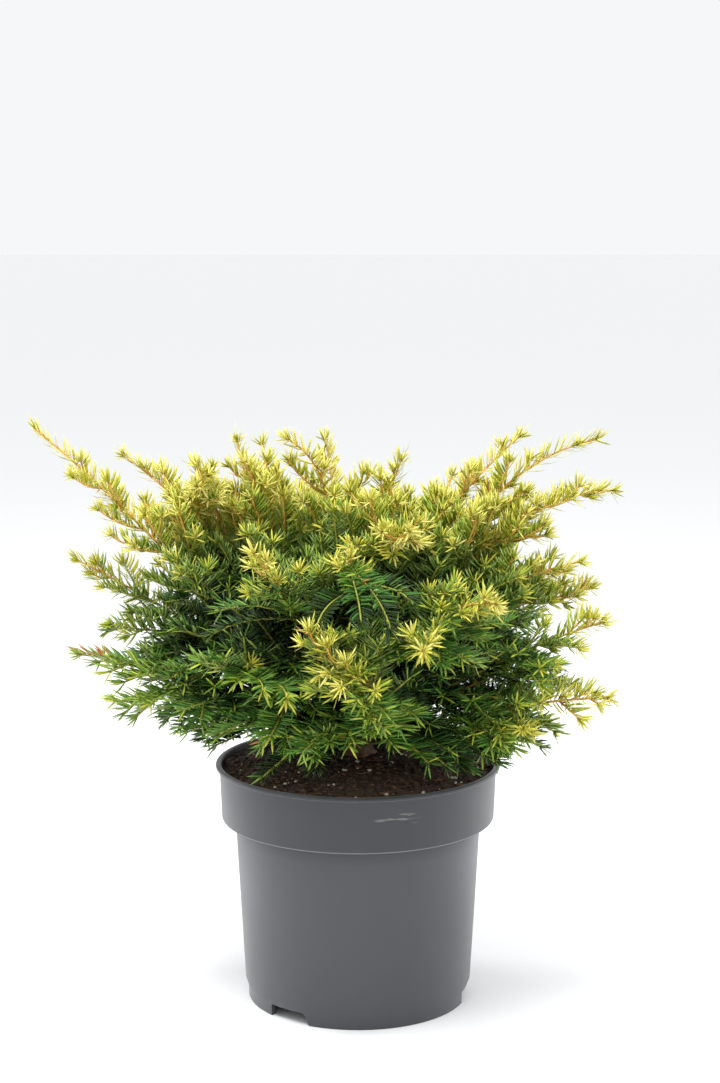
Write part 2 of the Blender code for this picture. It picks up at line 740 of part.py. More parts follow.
def build_plant():
    """The pot, its soil and the yew, all under one empty at the pot's axis."""
    plant = bpy.data.objects.new("yew_in_pot", None)
    plant.location = POT_AXIS
    bpy.context.scene.collection.objects.link(plant)
    bark = material("bark", BARK_BROWN, 0.85)
    finishes = {tone: material(f"needles_{tone}", colour, 0.5) for tone, colour in NEEDLE_TONES.items()}
    build_pot(plant)
    build_soil(plant)
    build_stem(plant, bark)
    limbs = limb_layout()
    boughs = [bough_of(route, FINE_STEP) for limb, route in limbs if has_bough(limb)]
    leaders = {limb.name: leader_of(limb, route) for limb, route in limbs}
    twins = {limb.name: twin_of(limb, leaders[limb.name]) for limb, _ in limbs if limb.twin}
    axes = {
        name: np.concatenate([leader, twins[name]]) if name in twins else leader
        for name, leader in leaders.items()
    }
    space = Space(axes, boughs)
    for number, (limb, route) in enumerate(limbs):
        if has_bough(limb):
            build_bough(limb, route, plant, bark)
        twin = twins.get(limb.name)
        finish = finishes[limb.tone]
        build_mass(limb, leaders[limb.name], twin, space, plant, finish, random.Random(SEED + number))


for startup_object in list(bpy.data.objects):
    bpy.data.objects.remove(startup_object)
build_plant()
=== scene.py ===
import math
import random
from collections import namedtuple
from itertools import combinations

import bpy
import numpy as np
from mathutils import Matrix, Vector, noise


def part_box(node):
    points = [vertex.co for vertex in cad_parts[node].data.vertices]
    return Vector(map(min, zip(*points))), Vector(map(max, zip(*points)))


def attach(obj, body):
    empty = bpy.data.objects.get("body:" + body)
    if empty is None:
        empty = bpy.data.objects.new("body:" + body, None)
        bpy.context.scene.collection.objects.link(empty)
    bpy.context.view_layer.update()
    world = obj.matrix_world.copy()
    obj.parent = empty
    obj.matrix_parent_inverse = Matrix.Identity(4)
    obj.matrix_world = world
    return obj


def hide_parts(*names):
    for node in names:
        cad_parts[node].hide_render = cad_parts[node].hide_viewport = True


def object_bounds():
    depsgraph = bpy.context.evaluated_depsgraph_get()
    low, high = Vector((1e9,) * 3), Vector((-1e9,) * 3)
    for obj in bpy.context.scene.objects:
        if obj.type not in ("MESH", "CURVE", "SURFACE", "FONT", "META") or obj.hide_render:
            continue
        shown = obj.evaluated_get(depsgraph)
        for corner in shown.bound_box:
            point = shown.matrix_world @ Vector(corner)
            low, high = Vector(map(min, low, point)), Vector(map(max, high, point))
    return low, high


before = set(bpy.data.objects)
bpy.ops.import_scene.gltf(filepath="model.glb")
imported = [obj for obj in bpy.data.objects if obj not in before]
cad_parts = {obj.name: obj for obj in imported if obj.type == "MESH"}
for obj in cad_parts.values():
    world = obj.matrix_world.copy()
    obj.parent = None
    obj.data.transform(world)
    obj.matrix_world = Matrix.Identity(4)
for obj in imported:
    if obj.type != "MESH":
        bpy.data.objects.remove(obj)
cad_box = [list(corner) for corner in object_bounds()]


# The studio: the plant stands on a pale seamless floor under an even pale sky. One soft box hangs
# over the front of the crown, and two lower ones behind the pot light its flanks.

pot_low, pot_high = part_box("pot")
POT_AXIS = Vector(((pot_low.x + pot_high.x) / 2, (pot_low.y + pot_high.y) / 2, 0.0))
CAMERA_PLACE = POT_AXIS + Vector((0.002, -2.0, 0.746))
CAMERA_PITCH = 8.83
CAMERA_SIGHT = 120
SENSOR_SIZE = 36
PHOTO_FOCAL = 2178
PHOTO_HEIGHT = 1083
SOFT_BOX_AIM = Vector((0, 0, 0.35))
SOFT_BOXES = (
    ("soft_box_top", (-0.35, -0.55, 2.2), 1.2, 46),
    ("soft_box_left", (-1.7, 0.7, 0.9), 1.1, 18),
    ("soft_box_right", (1.7, 0.7, 0.9), 1.1, 18),
)
SKY_WHITE = (246, 247, 248)
SKY_STRENGTH = 1.12
FLOOR_SIZE = 60.0
FLOOR_WHITE = (236, 237, 238)


def tint(red, green, blue):
    """A colour as the eye sees it, 0 to 255, as the linear values of a shader's socket."""
    shares = (value / 255 for value in (red, green, blue))
    steps = [s / 12.92 if s <= 0.04045 else ((s + 0.055) / 1.055) ** 2.4 for s in shares]
    return (*steps, 1.0)


def feed(tree, node, sockets):
    """Fills sockets of a node by name or number: each takes a value, or a link from a socket."""
    for socket, value in sockets.items():
        if isinstance(value, bpy.types.NodeSocket):
            tree.links.new(value, node.inputs[socket])
        else:
            node.inputs[socket].default_value = value


def added(tree, kind, sockets, **settings):
    """A new shader node of this kind, with its settings made and its sockets filled."""
    node = tree.nodes.new("ShaderNode" + kind)
    for name, value in settings.items():
        setattr(node, name, value)
    feed(tree, node, sockets)
    return node


def shaded(name):
    """A new material, with its tree of nodes and its shader."""
    made = bpy.data.materials.new(name)
    made.use_nodes = True
    return made, made.node_tree, made.node_tree.nodes["Principled BSDF"]


def plain(name, colour, roughness, specular=0.5):
    """A material of one base colour."""
    made, tree, shader = shaded(name)
    sockets = {"Base Color": tint(*colour), "Roughness": roughness, "Specular IOR Level": specular}
    feed(tree, shader, sockets)
    return made


camera = bpy.data.objects.new("camera", bpy.data.cameras.new("camera"))
camera.data.sensor_width = SENSOR_SIZE
camera.data.lens = SENSOR_SIZE * PHOTO_FOCAL / PHOTO_HEIGHT
camera.data.clip_end = CAMERA_SIGHT
camera.location = CAMERA_PLACE
camera.rotation_euler = (math.radians(90 - CAMERA_PITCH), 0, 0)
bpy.context.scene.collection.objects.link(camera)
bpy.context.scene.camera = camera
bpy.context.scene.view_settings.view_transform = "Standard"

for name, place, size, watts in SOFT_BOXES:
    soft_box = bpy.data.objects.new(name, bpy.data.lights.new(name, "AREA"))
    soft_box.data.shape = "DISK"
    soft_box.data.size = size
    soft_box.data.energy = watts
    soft_box.location = place
    towards = SOFT_BOX_AIM - soft_box.location
    soft_box.rotation_euler = towards.to_track_quat("-Z", "Y").to_euler()
    bpy.context.scene.collection.objects.link(soft_box)

# The sky lights the plant a little more than it shows to the camera
world = bpy.data.worlds.new("studio")
bpy.context.scene.world = world
world.use_nodes = True
sky = world.node_tree
lighting = sky.nodes["Background"]
feed(sky, lighting, {"Color": tint(*SKY_WHITE), "Strength": SKY_STRENGTH})
backdrop = added(sky, "Background", {"Color": tint(*SKY_WHITE)})
camera_ray = added(sky, "LightPath", {}).outputs["Is Camera Ray"]
either = {"Fac": camera_ray, 1: lighting.outputs["Background"], 2: backdrop.outputs["Background"]}
chosen = added(sky, "MixShader", either)
feed(sky, sky.nodes["World Output"], {"Surface": chosen.outputs["Shader"]})

bpy.ops.object.select_all(action="DESELECT")
bpy.ops.mesh.primitive_plane_add(size=FLOOR_SIZE, location=(0, 0, 0))
studio_floor = bpy.context.object
studio_floor.name = "studio_floor"
studio_floor.data.materials.append(plain("floor_white", FLOOR_WHITE, roughness=0.8))


# The pot: one thin shell of dark grey plastic, injection moulded, with a collar under its lip to
# stack and grip it by, and a foot ring that three notches drain. The walls carry a faint sheen.

POT_HEIGHT = 0.226
POT_WALL = 0.002
POT_SIDES = 144
LIP_RADIUS = 0.134
LIP_DEPTH = 0.003
LIP_FILLET = 0.0006
COLLAR_RADIUS_TOP = 0.1303
COLLAR_RADIUS_LOW = 0.1285
COLLAR_BOTTOM = 0.173
COLLAR_ROUNDING = 0.0025
ROUNDING_MIDDLE = 0.3
WALL_RADIUS_TOP = 0.1157
WALL_RADIUS_LOW = 0.1072
FOOT_RADIUS = 0.1043
FOOT_WIDTH = 0.005
FOOT_STEP_LOW = 0.010
FOOT_STEP_HIGH = 0.018
BASE_UNDERSIDE = 0.012
BASE_TOP = 0.014
HUB_RADIUS = FOOT_RADIUS / 8
EDGE_ROUNDING = 0.0006
EDGE_ANGLE = 28
SMOOTH_ANGLE = 24
NOTCH_AZIMUTHS = (231, 351, 111)
NOTCH_WIDTH = 0.040
NOTCH_FLARE = 0.008
NOTCH_HEIGHT = 0.0115
NOTCH_ROUNDING = 0.0018
POT_GREY = (38, 39, 44)
POT_GREY_WORN = (45, 46, 51)
POT_SATIN = (0.44, 0.56)
# Painted shade under the collar: the grey that lightens the wall below it, its share, and the heights
# over which it fades in
UNSHADED_WALL_GREY = (90, 92, 98)
UNSHADED_WALL_SHARE = 0.26
COLLAR_SHADE_FADE_TOP = COLLAR_BOTTOM - 0.001
COLLAR_SHADE_FADE_BOTTOM = COLLAR_BOTTOM - 0.016
SCUFF_GREY = (176, 172, 164)
SCUFF_STRETCH = (26, 26, 160)
SCUFFED_AT = (0.036, -0.127, 0.205)
SCUFFED_SCALE = (1, 1, 3)
SCUFFED_WIDTH = 0.026
# A painted highlight along the collar's lower edge: its height and its grey
EDGE_HEIGHT = 0.0011
EDGE_HIGHLIGHT_GREY = (104, 106, 111)


def turned(name, stations, sides):
    """A closed shell round the pot's axis: a ring, extruded and resized from station to station."""
    radius, height = stations[0]
    bpy.ops.object.select_all(action="DESELECT")
    bpy.ops.mesh.primitive_circle_add(
        vertices=sides, radius=radius, fill_type="NOTHING", location=(POT_AXIS.x, POT_AXIS.y, height)
    )
    piece = bpy.context.object
    piece.name = piece.data.name = name
    bpy.ops.object.mode_set(mode="EDIT")
    bpy.ops.mesh.select_all(action="SELECT")
    for last, (radius, height) in zip(stations, stations[1:]):
        bpy.ops.mesh.extrude_region_move(TRANSFORM_OT_translate={"value": (0, 0, height - last[1])})
        share = radius / last[0]
        middle = (POT_AXIS.x, POT_AXIS.y, height)
        bpy.ops.transform.resize(value=(share, share, 1), center_override=middle)
    bpy.ops.mesh.select_all(action="SELECT")
    bpy.ops.mesh.fill_holes(sides=0)
    bpy.ops.mesh.normals_make_consistent(inside=False)
    bpy.ops.object.mode_set(mode="OBJECT")
    bpy.ops.object.transform_apply(location=True, rotation=True, scale=True)
    return piece


def around(azimuth):
    """The unit vector that points outwards at this azimuth, in degrees."""
    turn = math.radians(azimuth)
    return Vector((math.cos(turn), math.sin(turn), 0.0))


def worked(piece, kind, **settings):
    """Gives the piece a modifier of this kind and applies it."""
    modifier = piece.modifiers.new(kind.lower(), kind)
    for name, value in settings.items():
        setattr(modifier, name, value)
    bpy.ops.object.select_all(action="DESELECT")
    piece.select_set(True)
    bpy.context.view_layer.objects.active = piece
    bpy.ops.object.modifier_apply(modifier=modifier.name)


lip_low = POT_HEIGHT - LIP_DEPTH
pot = turned(
    "nursery_pot",
    (
        (HUB_RADIUS, BASE_TOP),
        (FOOT_RADIUS - POT_WALL, BASE_TOP),
        (WALL_RADIUS_LOW - POT_WALL, FOOT_STEP_HIGH + POT_WALL / 2),
        (WALL_RADIUS_TOP - POT_WALL, COLLAR_BOTTOM + POT_WALL / 2),
        (COLLAR_RADIUS_LOW - POT_WALL, COLLAR_BOTTOM + POT_WALL),
        (COLLAR_RADIUS_TOP - POT_WALL, POT_HEIGHT - LIP_DEPTH / 3),
        (COLLAR_RADIUS_TOP - POT_WALL / 2, POT_HEIGHT),
        (LIP_RADIUS - LIP_DEPTH / 3, POT_HEIGHT),
        (LIP_RADIUS, POT_HEIGHT - LIP_DEPTH / 3),
        (LIP_RADIUS, lip_low),
        (COLLAR_RADIUS_TOP + LIP_FILLET, lip_low - LIP_DEPTH / 3),
        (COLLAR_RADIUS_TOP, lip_low - LIP_DEPTH),
        (COLLAR_RADIUS_LOW, COLLAR_BOTTOM + COLLAR_ROUNDING),
        (
            COLLAR_RADIUS_LOW - COLLAR_ROUNDING * ROUNDING_MIDDLE,
            COLLAR_BOTTOM + COLLAR_ROUNDING * ROUNDING_MIDDLE,
        ),
        (COLLAR_RADIUS_LOW - COLLAR_ROUNDING, COLLAR_BOTTOM),
        (WALL_RADIUS_TOP, COLLAR_BOTTOM - POT_WALL),
        (WALL_RADIUS_LOW, FOOT_STEP_HIGH),
        (FOOT_RADIUS, FOOT_STEP_LOW),
        (FOOT_RADIUS, 0.0),
        (FOOT_RADIUS - FOOT_WIDTH, 0.0),
        (FOOT_RADIUS - FOOT_WIDTH, BASE_UNDERSIDE),
        (HUB_RADIUS, BASE_UNDERSIDE),
    ),
    POT_SIDES,
)
edge_limit = math.radians(EDGE_ANGLE)
worked(pot, "BEVEL", width=EDGE_ROUNDING, segments=2, limit_method="ANGLE", angle_limit=edge_limit)
for azimuth in NOTCH_AZIMUTHS:
    bpy.ops.object.select_all(action="DESELECT")
    bpy.ops.mesh.primitive_cube_add(size=1, location=(0, 0, 0))
    cutter = bpy.context.object
    outwards, sideways = around(azimuth), around(azimuth + 90)
    for corner in cutter.data.vertices:
        deep = FOOT_RADIUS - 3 * FOOT_WIDTH if corner.co.x < 0 else FOOT_RADIUS + 2 * FOOT_WIDTH
        high = NOTCH_HEIGHT if corner.co.z > 0 else -NOTCH_HEIGHT / 2
        flare = NOTCH_FLARE if corner.co.z < 0 else -NOTCH_HEIGHT / 8
        wide = -NOTCH_WIDTH / 2 if corner.co.y < 0 else NOTCH_WIDTH / 2 + flare
        corner.co = POT_AXIS + outwards * deep + sideways * wide + Vector((0, 0, high))
    worked(cutter, "BEVEL", width=NOTCH_ROUNDING, segments=3)
    worked(pot, "BOOLEAN", operation="DIFFERENCE", object=cutter)
    bpy.data.objects.remove(cutter)
bpy.ops.object.shade_smooth_by_angle(angle=math.radians(SMOOTH_ANGLE))


def ranged(tree, value, low, high, first=0.0, last=1.0):
    """A value carried over from one range to another."""
    sockets = {"Value": value, "From Min": low, "From Max": high, "To Min": first, "To Max": last}
    return added(tree, "MapRange", sockets).outputs["Result"]


def noisy(tree, place, scale, detail):
    """Soft patches of noise, from 0 to 1."""
    return added(tree, "TexNoise", {"Vector": place, "Scale": scale, "Detail": detail}).outputs["Fac"]


def scaled(tree, place, scale):
    """Coordinates that are stretched or squeezed along each axis."""
    return added(tree, "Mapping", {"Vector": place, "Scale": scale}).outputs["Vector"]


def covered(tree, under, over, share):
    """One colour over another, as thick as the share says."""
    sockets = {"Factor": share, "A": under, "B": over}
    return added(tree, "Mix", sockets, data_type="RGBA").outputs["Result"]


def raised(tree, height, strength, distance):
    """The normals of a surface that this height raises."""
    sockets = {"Height": height, "Strength": strength, "Distance": distance}
    return added(tree, "Bump", sockets).outputs["Normal"]


# The mottle group mixes two colours over the surface in soft patches. Plastic, peat and bark all
# use it, each at its own scale.
mottle = bpy.data.node_groups.new("mottle", "ShaderNodeTree")
for name, way, kind in (
    ("Vector", "INPUT", "Vector"),
    ("Scale", "INPUT", "Float"),
    ("Detail", "INPUT", "Float"),
    ("Low", "INPUT", "Color"),
    ("High", "INPUT", "Color"),
    ("Color", "OUTPUT", "Color"),
    ("Mask", "OUTPUT", "Float"),
):
    mottle.interface.new_socket(name, in_out=way, socket_type="NodeSocket" + kind)
given = mottle.nodes.new("NodeGroupInput").outputs
patches = noisy(mottle, given["Vector"], given["Scale"], given["Detail"])
mask = ranged(mottle, patches, low=0.35, high=0.65)
both = covered(mottle, given["Low"], given["High"], mask)
feed(mottle, mottle.nodes.new("NodeGroupOutput"), {"Color": both, "Mask": mask})


def mottled(name, low, high, scale, detail, stretch_by=(1, 1, 1)):
    """A material of the group's colours, its shader, coordinates and the group's outputs."""
    made, tree, shader = shaded(name)
    place = added(tree, "TexCoord", {}).outputs["Object"]
    sockets = {"Vector": scaled(tree, place, stretch_by), "Scale": scale, "Detail": detail}
    sockets.update({"Low": tint(*low), "High": tint(*high)})
    patches = added(tree, "Group", sockets, node_tree=mottle).outputs
    feed(tree, shader, {"Base Color": patches["Color"]})
    return made, shader, place, patches


greys = (POT_GREY, POT_GREY_WORN)
pot_plastic, shader, place, patches = mottled("pot_plastic", *greys, scale=9, detail=5)
tree = pot_plastic.node_tree
# Painted shade: the wall is lightened from a little below the collar down, so the collar and a band
# just under it stay darker, where the collar and the foliage above shade them
height = added(tree, "SeparateXYZ", {"Vector": place}).outputs["Z"]
unshaded = ranged(tree, height, COLLAR_SHADE_FADE_TOP, COLLAR_SHADE_FADE_BOTTOM, last=UNSHADED_WALL_SHARE)
colour = covered(tree, patches["Color"], tint(*UNSHADED_WALL_GREY), unshaded)
# Scuffs: short pale rubs, on the front of the collar only
rubs = noisy(tree, scaled(tree, place, SCUFF_STRETCH), scale=1.6, detail=3)
rubs = ranged(tree, rubs, low=0.58, high=0.68, last=0.30)
middle = (POT_AXIS + Vector(SCUFFED_AT)) * Vector(SCUFFED_SCALE)
flattened = scaled(tree, place, SCUFFED_SCALE)
off_middle = added(tree, "VectorMath", {0: flattened, 1: middle}, operation="DISTANCE")
patch = ranged(tree, off_middle.outputs["Value"], SCUFFED_WIDTH, SCUFFED_WIDTH / 2)
scuff = added(tree, "Math", {0: rubs, 1: patch}, operation="MULTIPLY").outputs["Value"]
colour = covered(tree, colour, tint(*SCUFF_GREY), scuff)
# Painted highlight: a pale line along the collar's lower edge, where it catches light from the floor
edge_middle = COLLAR_BOTTOM + EDGE_HEIGHT / 2
over_edge = added(tree, "Math", {0: height, 1: edge_middle}, operation="SUBTRACT").outputs["Value"]
off_edge = added(tree, "Math", {0: over_edge}, operation="ABSOLUTE").outputs["Value"]
rim = ranged(tree, off_edge, EDGE_HEIGHT, EDGE_HEIGHT / 2)
colour = covered(tree, colour, tint(*EDGE_HIGHLIGHT_GREY), rim)
# The moulded skin is a fine orange peel
peel = noisy(tree, place, scale=420, detail=2)
surface = {
    "Base Color": colour,
    "Roughness": ranged(tree, patches["Mask"], 0, 1, *POT_SATIN),
    "Specular IOR Level": 0.5,
    "Sheen Weight": 0.22,
    "Sheen Roughness": 0.45,
    "Normal": raised(tree, peel, strength=0.10, distance=0.0004),
}
feed(tree, shader, surface)

pot.data.materials.append(pot_plastic)
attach(pot, "root")
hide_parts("pot")


# The potting soil: moist dark peat that fills the pot to just under its lip. Grains of white
# perlite, reddish chips of bark and pale root fibres lie on its crumbly top.

SOIL_EDGE_HEIGHT = 0.2215
SOIL_TOP_HEIGHT = 0.232
SOIL_FLAT_RADIUS = 0.021
SOIL_SIDES = 180
SOIL_RINGS = 46
SOIL_GAP = 0.0003
SOIL_SEAM = 0.0026
SOIL_LUMP = 0.0030
SOIL_CRUMB = 0.0012
LUMPS_PER_METRE = 34
CRUMBS_PER_METRE = 210
LUMP_OCTAVES = (0.9, 2.1, 3)
CRUMB_OCTAVES = (0.8, 2.2, 3)
RIM_WIDTH = 0.004
RIM_LUMPS = 0.4
RIM_DIP = 0.0010
PEAT_DARK = (46, 37, 33)
PEAT_BROWN = (100, 79, 67)
GRAIN_STRETCH = (0.7, 1.3)
GRAIN_ROUGHNESS = (0.6, 1.1)
GRAIN_RISE = 0.3
CHIP_BROWN = (112, 78, 54)
PERLITE_WHITE = (214, 204, 190)
FIBRE_TAN = (138, 104, 70)
FIBRE_COUNT = 120
FIBRE_KNOTS = 7
FIBRE_SIDES = 3
FIBRE_WAVE = 0.5
FIBRE_MARGIN = 0.012
FIBRE_BEND = 16
FIBRE_STEP = (0.0012, 0.0026)
FIBRE_RADIUS = (0.00014, 0.00026)
FIBRE_LIFT = 0.0006
FIBRE_ARCH = 0.0012
SOIL_SEED = 5


def soil_height(radius):
    """Height of the soil's surface at this distance from the pot's axis, without its lumps."""
    share = np.clip((radius - SOIL_FLAT_RADIUS) / (COLLAR_RADIUS_TOP - SOIL_FLAT_RADIUS), 0, 1)
    fall = (1 - np.cos(np.pi * share)) / 2
    return SOIL_TOP_HEIGHT + (SOIL_EDGE_HEIGHT - SOIL_TOP_HEIGHT) * fall


def soil_lump(x, y):
    """How far lumps and crumbs raise or sink the surface there."""
    lump = noise.fractal(Vector((x * LUMPS_PER_METRE, y * LUMPS_PER_METRE, 2.0)), *LUMP_OCTAVES)
    crumb = noise.fractal(Vector((x * CRUMBS_PER_METRE, y * CRUMBS_PER_METRE, 7.0)), *CRUMB_OCTAVES)
    return SOIL_LUMP * lump + SOIL_CRUMB * crumb


stations = [
    (HUB_RADIUS, BASE_TOP + SOIL_GAP),
    (FOOT_RADIUS - SOIL_SEAM, BASE_TOP + SOIL_GAP),
    (WALL_RADIUS_LOW - SOIL_SEAM, FOOT_STEP_HIGH + POT_WALL),
    (WALL_RADIUS_TOP - SOIL_SEAM, COLLAR_BOTTOM + POT_WALL),
    (COLLAR_RADIUS_LOW - SOIL_SEAM, COLLAR_BOTTOM + POT_WALL + 2 * SOIL_GAP),
]
widest = COLLAR_RADIUS_TOP - SOIL_SEAM
for ring in range(SOIL_RINGS + 1):
    radius = widest + (SOIL_FLAT_RADIUS / 10 - widest) * ring / SOIL_RINGS
    stations.append((radius, soil_height(radius)))
soil = turned("soil_surface", stations, SOIL_SIDES)
for corner in soil.data.vertices:
    if corner.co.z > SOIL_EDGE_HEIGHT - RIM_DIP:
        x, y = corner.co.x - POT_AXIS.x, corner.co.y - POT_AXIS.y
        share = min(1.0, (widest - math.hypot(x, y)) / RIM_WIDTH)
        corner.co.z += soil_lump(x, y) * (RIM_LUMPS + (1 - RIM_LUMPS) * share) - RIM_DIP * (1 - share)
soil.data.shade_smooth()

peat, shader, place, patches = mottled("peat", PEAT_DARK, PEAT_BROWN, scale=260, detail=8)
grit = noisy(peat.node_tree, place, scale=900, detail=4)
gritty = raised(peat.node_tree, grit, strength=0.7, distance=0.0009)
feed(peat.node_tree, shader, {"Roughness": 0.92, "Specular IOR Level": 0.25, "Normal": gritty})
soil.data.materials.append(peat)
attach(soil, "root")
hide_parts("soil")


def joined(name, corners, faces, slots=None):
    """One mesh from rows of points round the pot's axis and a list of arrays of faces."""
    mesh = bpy.data.meshes.new(name)
    sizes = np.concatenate([np.full(len(rows), rows.shape[1]) for rows in faces])
    loops = np.concatenate([rows.ravel() for rows in faces])
    mesh.vertices.add(len(corners))
    mesh.vertices.foreach_set("co", (corners + np.array(POT_AXIS)).astype(np.float32).ravel())
    mesh.loops.add(len(loops))
    mesh.loops.foreach_set("vertex_index", loops.astype(np.int32))
    mesh.polygons.add(len(sizes))
    starts = np.concatenate(([0], np.cumsum(sizes)[:-1]))
    mesh.polygons.foreach_set("loop_start", starts.astype(np.int32))
    if slots is not None:
        mesh.polygons.foreach_set("material_index", np.concatenate(slots).astype(np.int32))
    mesh.update(calc_edges=True)
    mesh.validate()
    piece = bpy.data.objects.new(name, mesh)
    bpy.context.scene.collection.objects.link(piece)
    return piece


def dressed(piece, slot, *finishes):
    """Gives the piece its materials, and puts it on the plant."""
    for finish in finishes:
        piece.data.materials.append(finish)
    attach(piece, "root")


# A grain starts from the 12 corners and 20 triangles of a ball
GOLDEN_RATIO = (1 + 5**0.5) / 2
GRAIN = np.array(
    [(x, y * GOLDEN_RATIO, 0) for x in (-1, 1) for y in (-1, 1)]
    + [(0, x, y * GOLDEN_RATIO) for x in (-1, 1) for y in (-1, 1)]
    + [(y * GOLDEN_RATIO, 0, x) for x in (-1, 1) for y in (-1, 1)],
    float,
)
GRAIN /= np.linalg.norm(GRAIN[0])


def grain_faces():
    """The triangles of the grain, each turned outwards."""
    near = 1.1 * min(np.linalg.norm(GRAIN[0] - other) for other in GRAIN[1:])
    found = []
    for a, b, c in combinations(range(len(GRAIN)), 3):
        sides = (GRAIN[a] - GRAIN[b], GRAIN[b] - GRAIN[c], GRAIN[c] - GRAIN[a])
        if max(np.linalg.norm(side) for side in sides) < near:
            outward = np.dot(np.cross(-sides[0], sides[2]), GRAIN[a]) > 0
            found.append((a, b, c) if outward else (a, c, b))
    return np.array(found)


GRAIN_FACES = grain_faces()


def scattered(name, count, smallest, largest, flatness, chance):
    """Rough grains that lie on the soil, half sunk, each one its own size and shape."""
    corners, faces = [], []
    for number in range(count):
        radius = (widest - RIM_WIDTH) * math.sqrt(chance.uniform(0.01, 1))
        spot = around(chance.uniform(0, 360)) * radius
        size = smallest + (largest - smallest) * chance.random() ** 2
        rough = np.array([chance.uniform(*GRAIN_ROUGHNESS) for _ in GRAIN])[:, None]
        shape = GRAIN * rough * (size * chance.uniform(*GRAIN_STRETCH), size, size * flatness)
        turn = chance.uniform(0, math.pi)
        x = shape[:, 0] * math.cos(turn) - shape[:, 1] * math.sin(turn) + spot.x
        y = shape[:, 0] * math.sin(turn) + shape[:, 1] * math.cos(turn) + spot.y
        height = soil_height(radius) + soil_lump(spot.x, spot.y) + size * flatness * GRAIN_RISE
        corners.append(np.stack((x, y, shape[:, 2] + height), axis=1))
        faces.append(GRAIN_FACES + len(GRAIN) * number)
    return joined(name, np.concatenate(corners), [np.concatenate(faces)])


# The count of each kind of grain, its smallest and largest half width, and how flat it is
chance = random.Random(SOIL_SEED)
for name, count, smallest, largest, flatness, finish in (
    ("soil_crumbs", 1500, 0.0010, 0.0034, 0.7, peat),
    ("bark_chips", 240, 0.0014, 0.0042, 0.35, plain("chip_brown", CHIP_BROWN, roughness=0.85)),
    ("perlite_grains", 95, 0.0009, 0.0027, 0.8, plain("perlite_white", PERLITE_WHITE, roughness=0.8)),
):
    dressed(scattered(name, count, smallest, largest, flatness, chance), "potting_soil", finish)


def unit(vectors):
    """Each row made one long."""
    return vectors / np.linalg.norm(vectors, axis=-1, keepdims=True)


def frames(points, across):
    """Unit vectors along, across and up out of a route at each of its points."""
    along = unit(np.gradient(points, axis=0))
    across = np.array(across) - (np.array(across) * along).sum(axis=1, keepdims=True) * along
    across = unit(across)
    return along, across, np.cross(along, across)


def tube(points, radii, across, sides):
    """Rows of points round a route, a ring of so many for each of its points."""
    _, right, high = frames(points, across)
    turns = np.arange(sides) * 2 * np.pi / sides
    spokes = np.cos(turns)[:, None] * right[:, None] + np.sin(turns)[:, None] * high[:, None]
    return points[:, None] + np.asarray(radii).reshape(len(points), -1, 1) * spokes


def tube_faces(rings, sides, first):
    """The quads between rings of points, from the first point's number on."""
    ring, side = np.meshgrid(np.arange(rings - 1), np.arange(sides), indexing="ij")
    low = first + ring * sides + side
    after = first + ring * sides + (side + 1) % sides
    return np.stack((low, after, after + sides, low + sides), axis=-1).reshape(-1, 4)


def rope(name, routes, sides):
    """One piece of tubes with end caps, along many routes: their points, radii and left side."""
    corners, quads, caps, first = [], [], [], 0
    for points, radii, across in routes:
        rows = tube(points, radii, across, sides)
        quads.append(tube_faces(len(points), sides, first))
        last = first + (len(points) - 1) * sides
        caps.append(np.array([range(first + sides - 1, first - 1, -1), range(last, last + sides)]))
        corners.append(rows.reshape(-1, 3))
        first += len(points) * sides
    return joined(name, np.concatenate(corners), [np.concatenate(quads), np.concatenate(caps)])


strands = []
for number in range(FIBRE_COUNT):
    radius = (widest - FIBRE_MARGIN) * math.sqrt(chance.uniform(0.02, 1))
    spot = around(chance.uniform(0, 360)) * radius
    heading, bend = chance.uniform(0, 360), chance.uniform(-FIBRE_BEND, FIBRE_BEND)
    step, width = chance.uniform(*FIBRE_STEP), chance.uniform(*FIBRE_RADIUS)
    line = []
    for knot in range(FIBRE_KNOTS):
        from_axis = min(math.hypot(spot.x, spot.y), widest - FIBRE_MARGIN / 6)
        rise = soil_height(from_axis) + soil_lump(spot.x, spot.y)
        line.append((spot.x, spot.y, rise + FIBRE_LIFT + FIBRE_ARCH * math.sin(knot * FIBRE_WAVE)))
        spot = spot + around(heading) * step
        heading += bend * 2
    strands.append((np.array(line), np.full(FIBRE_KNOTS, width), (0, 0, 1)))
fibres = rope("root_fibres", strands, FIBRE_SIDES)
dressed(fibres, "potting_soil", plain("fibre_tan", FIBRE_TAN, roughness=0.8))


# The wood: a short stem that leans a little and spreads to its roots at the soil, and boughs that
# leave it one above another. The bark is thin, reddish brown, and furrowed along the limb.

SEAT_GAP = 0.0003
SEAT_STEP = 0.0001
STEM_HEIGHT = 0.104
STEM_LEAN = Vector((-0.10, 0.05, 1.0))
STEM_RADIUS = 0.0105
STEM_TIP_RADIUS = 0.0065
FLARE_RADIUS = 0.018
FLARE_HEIGHT = 0.022
FLARE_LOBES = 5
FLARE_DIP = 0.4
LOWEST_LIMB = 0.008
LIMB_RISE = 0.0012
BOUGH_CLEARANCE = 0.001
LEADER_ROOM = 0.003
BOUGH_SHARE = 0.28
BOUGH_RADIUS = 0.0036
BOUGH_TIP_RADIUS = 0.0021
FINE_STEP = 0.004
HANDLE_SHARE = 0.38
STEEPEST_SIDE = 80
RIM_STEP = 45
BOUGHLESS = ("skirt", "top_middle")
SEED = 11

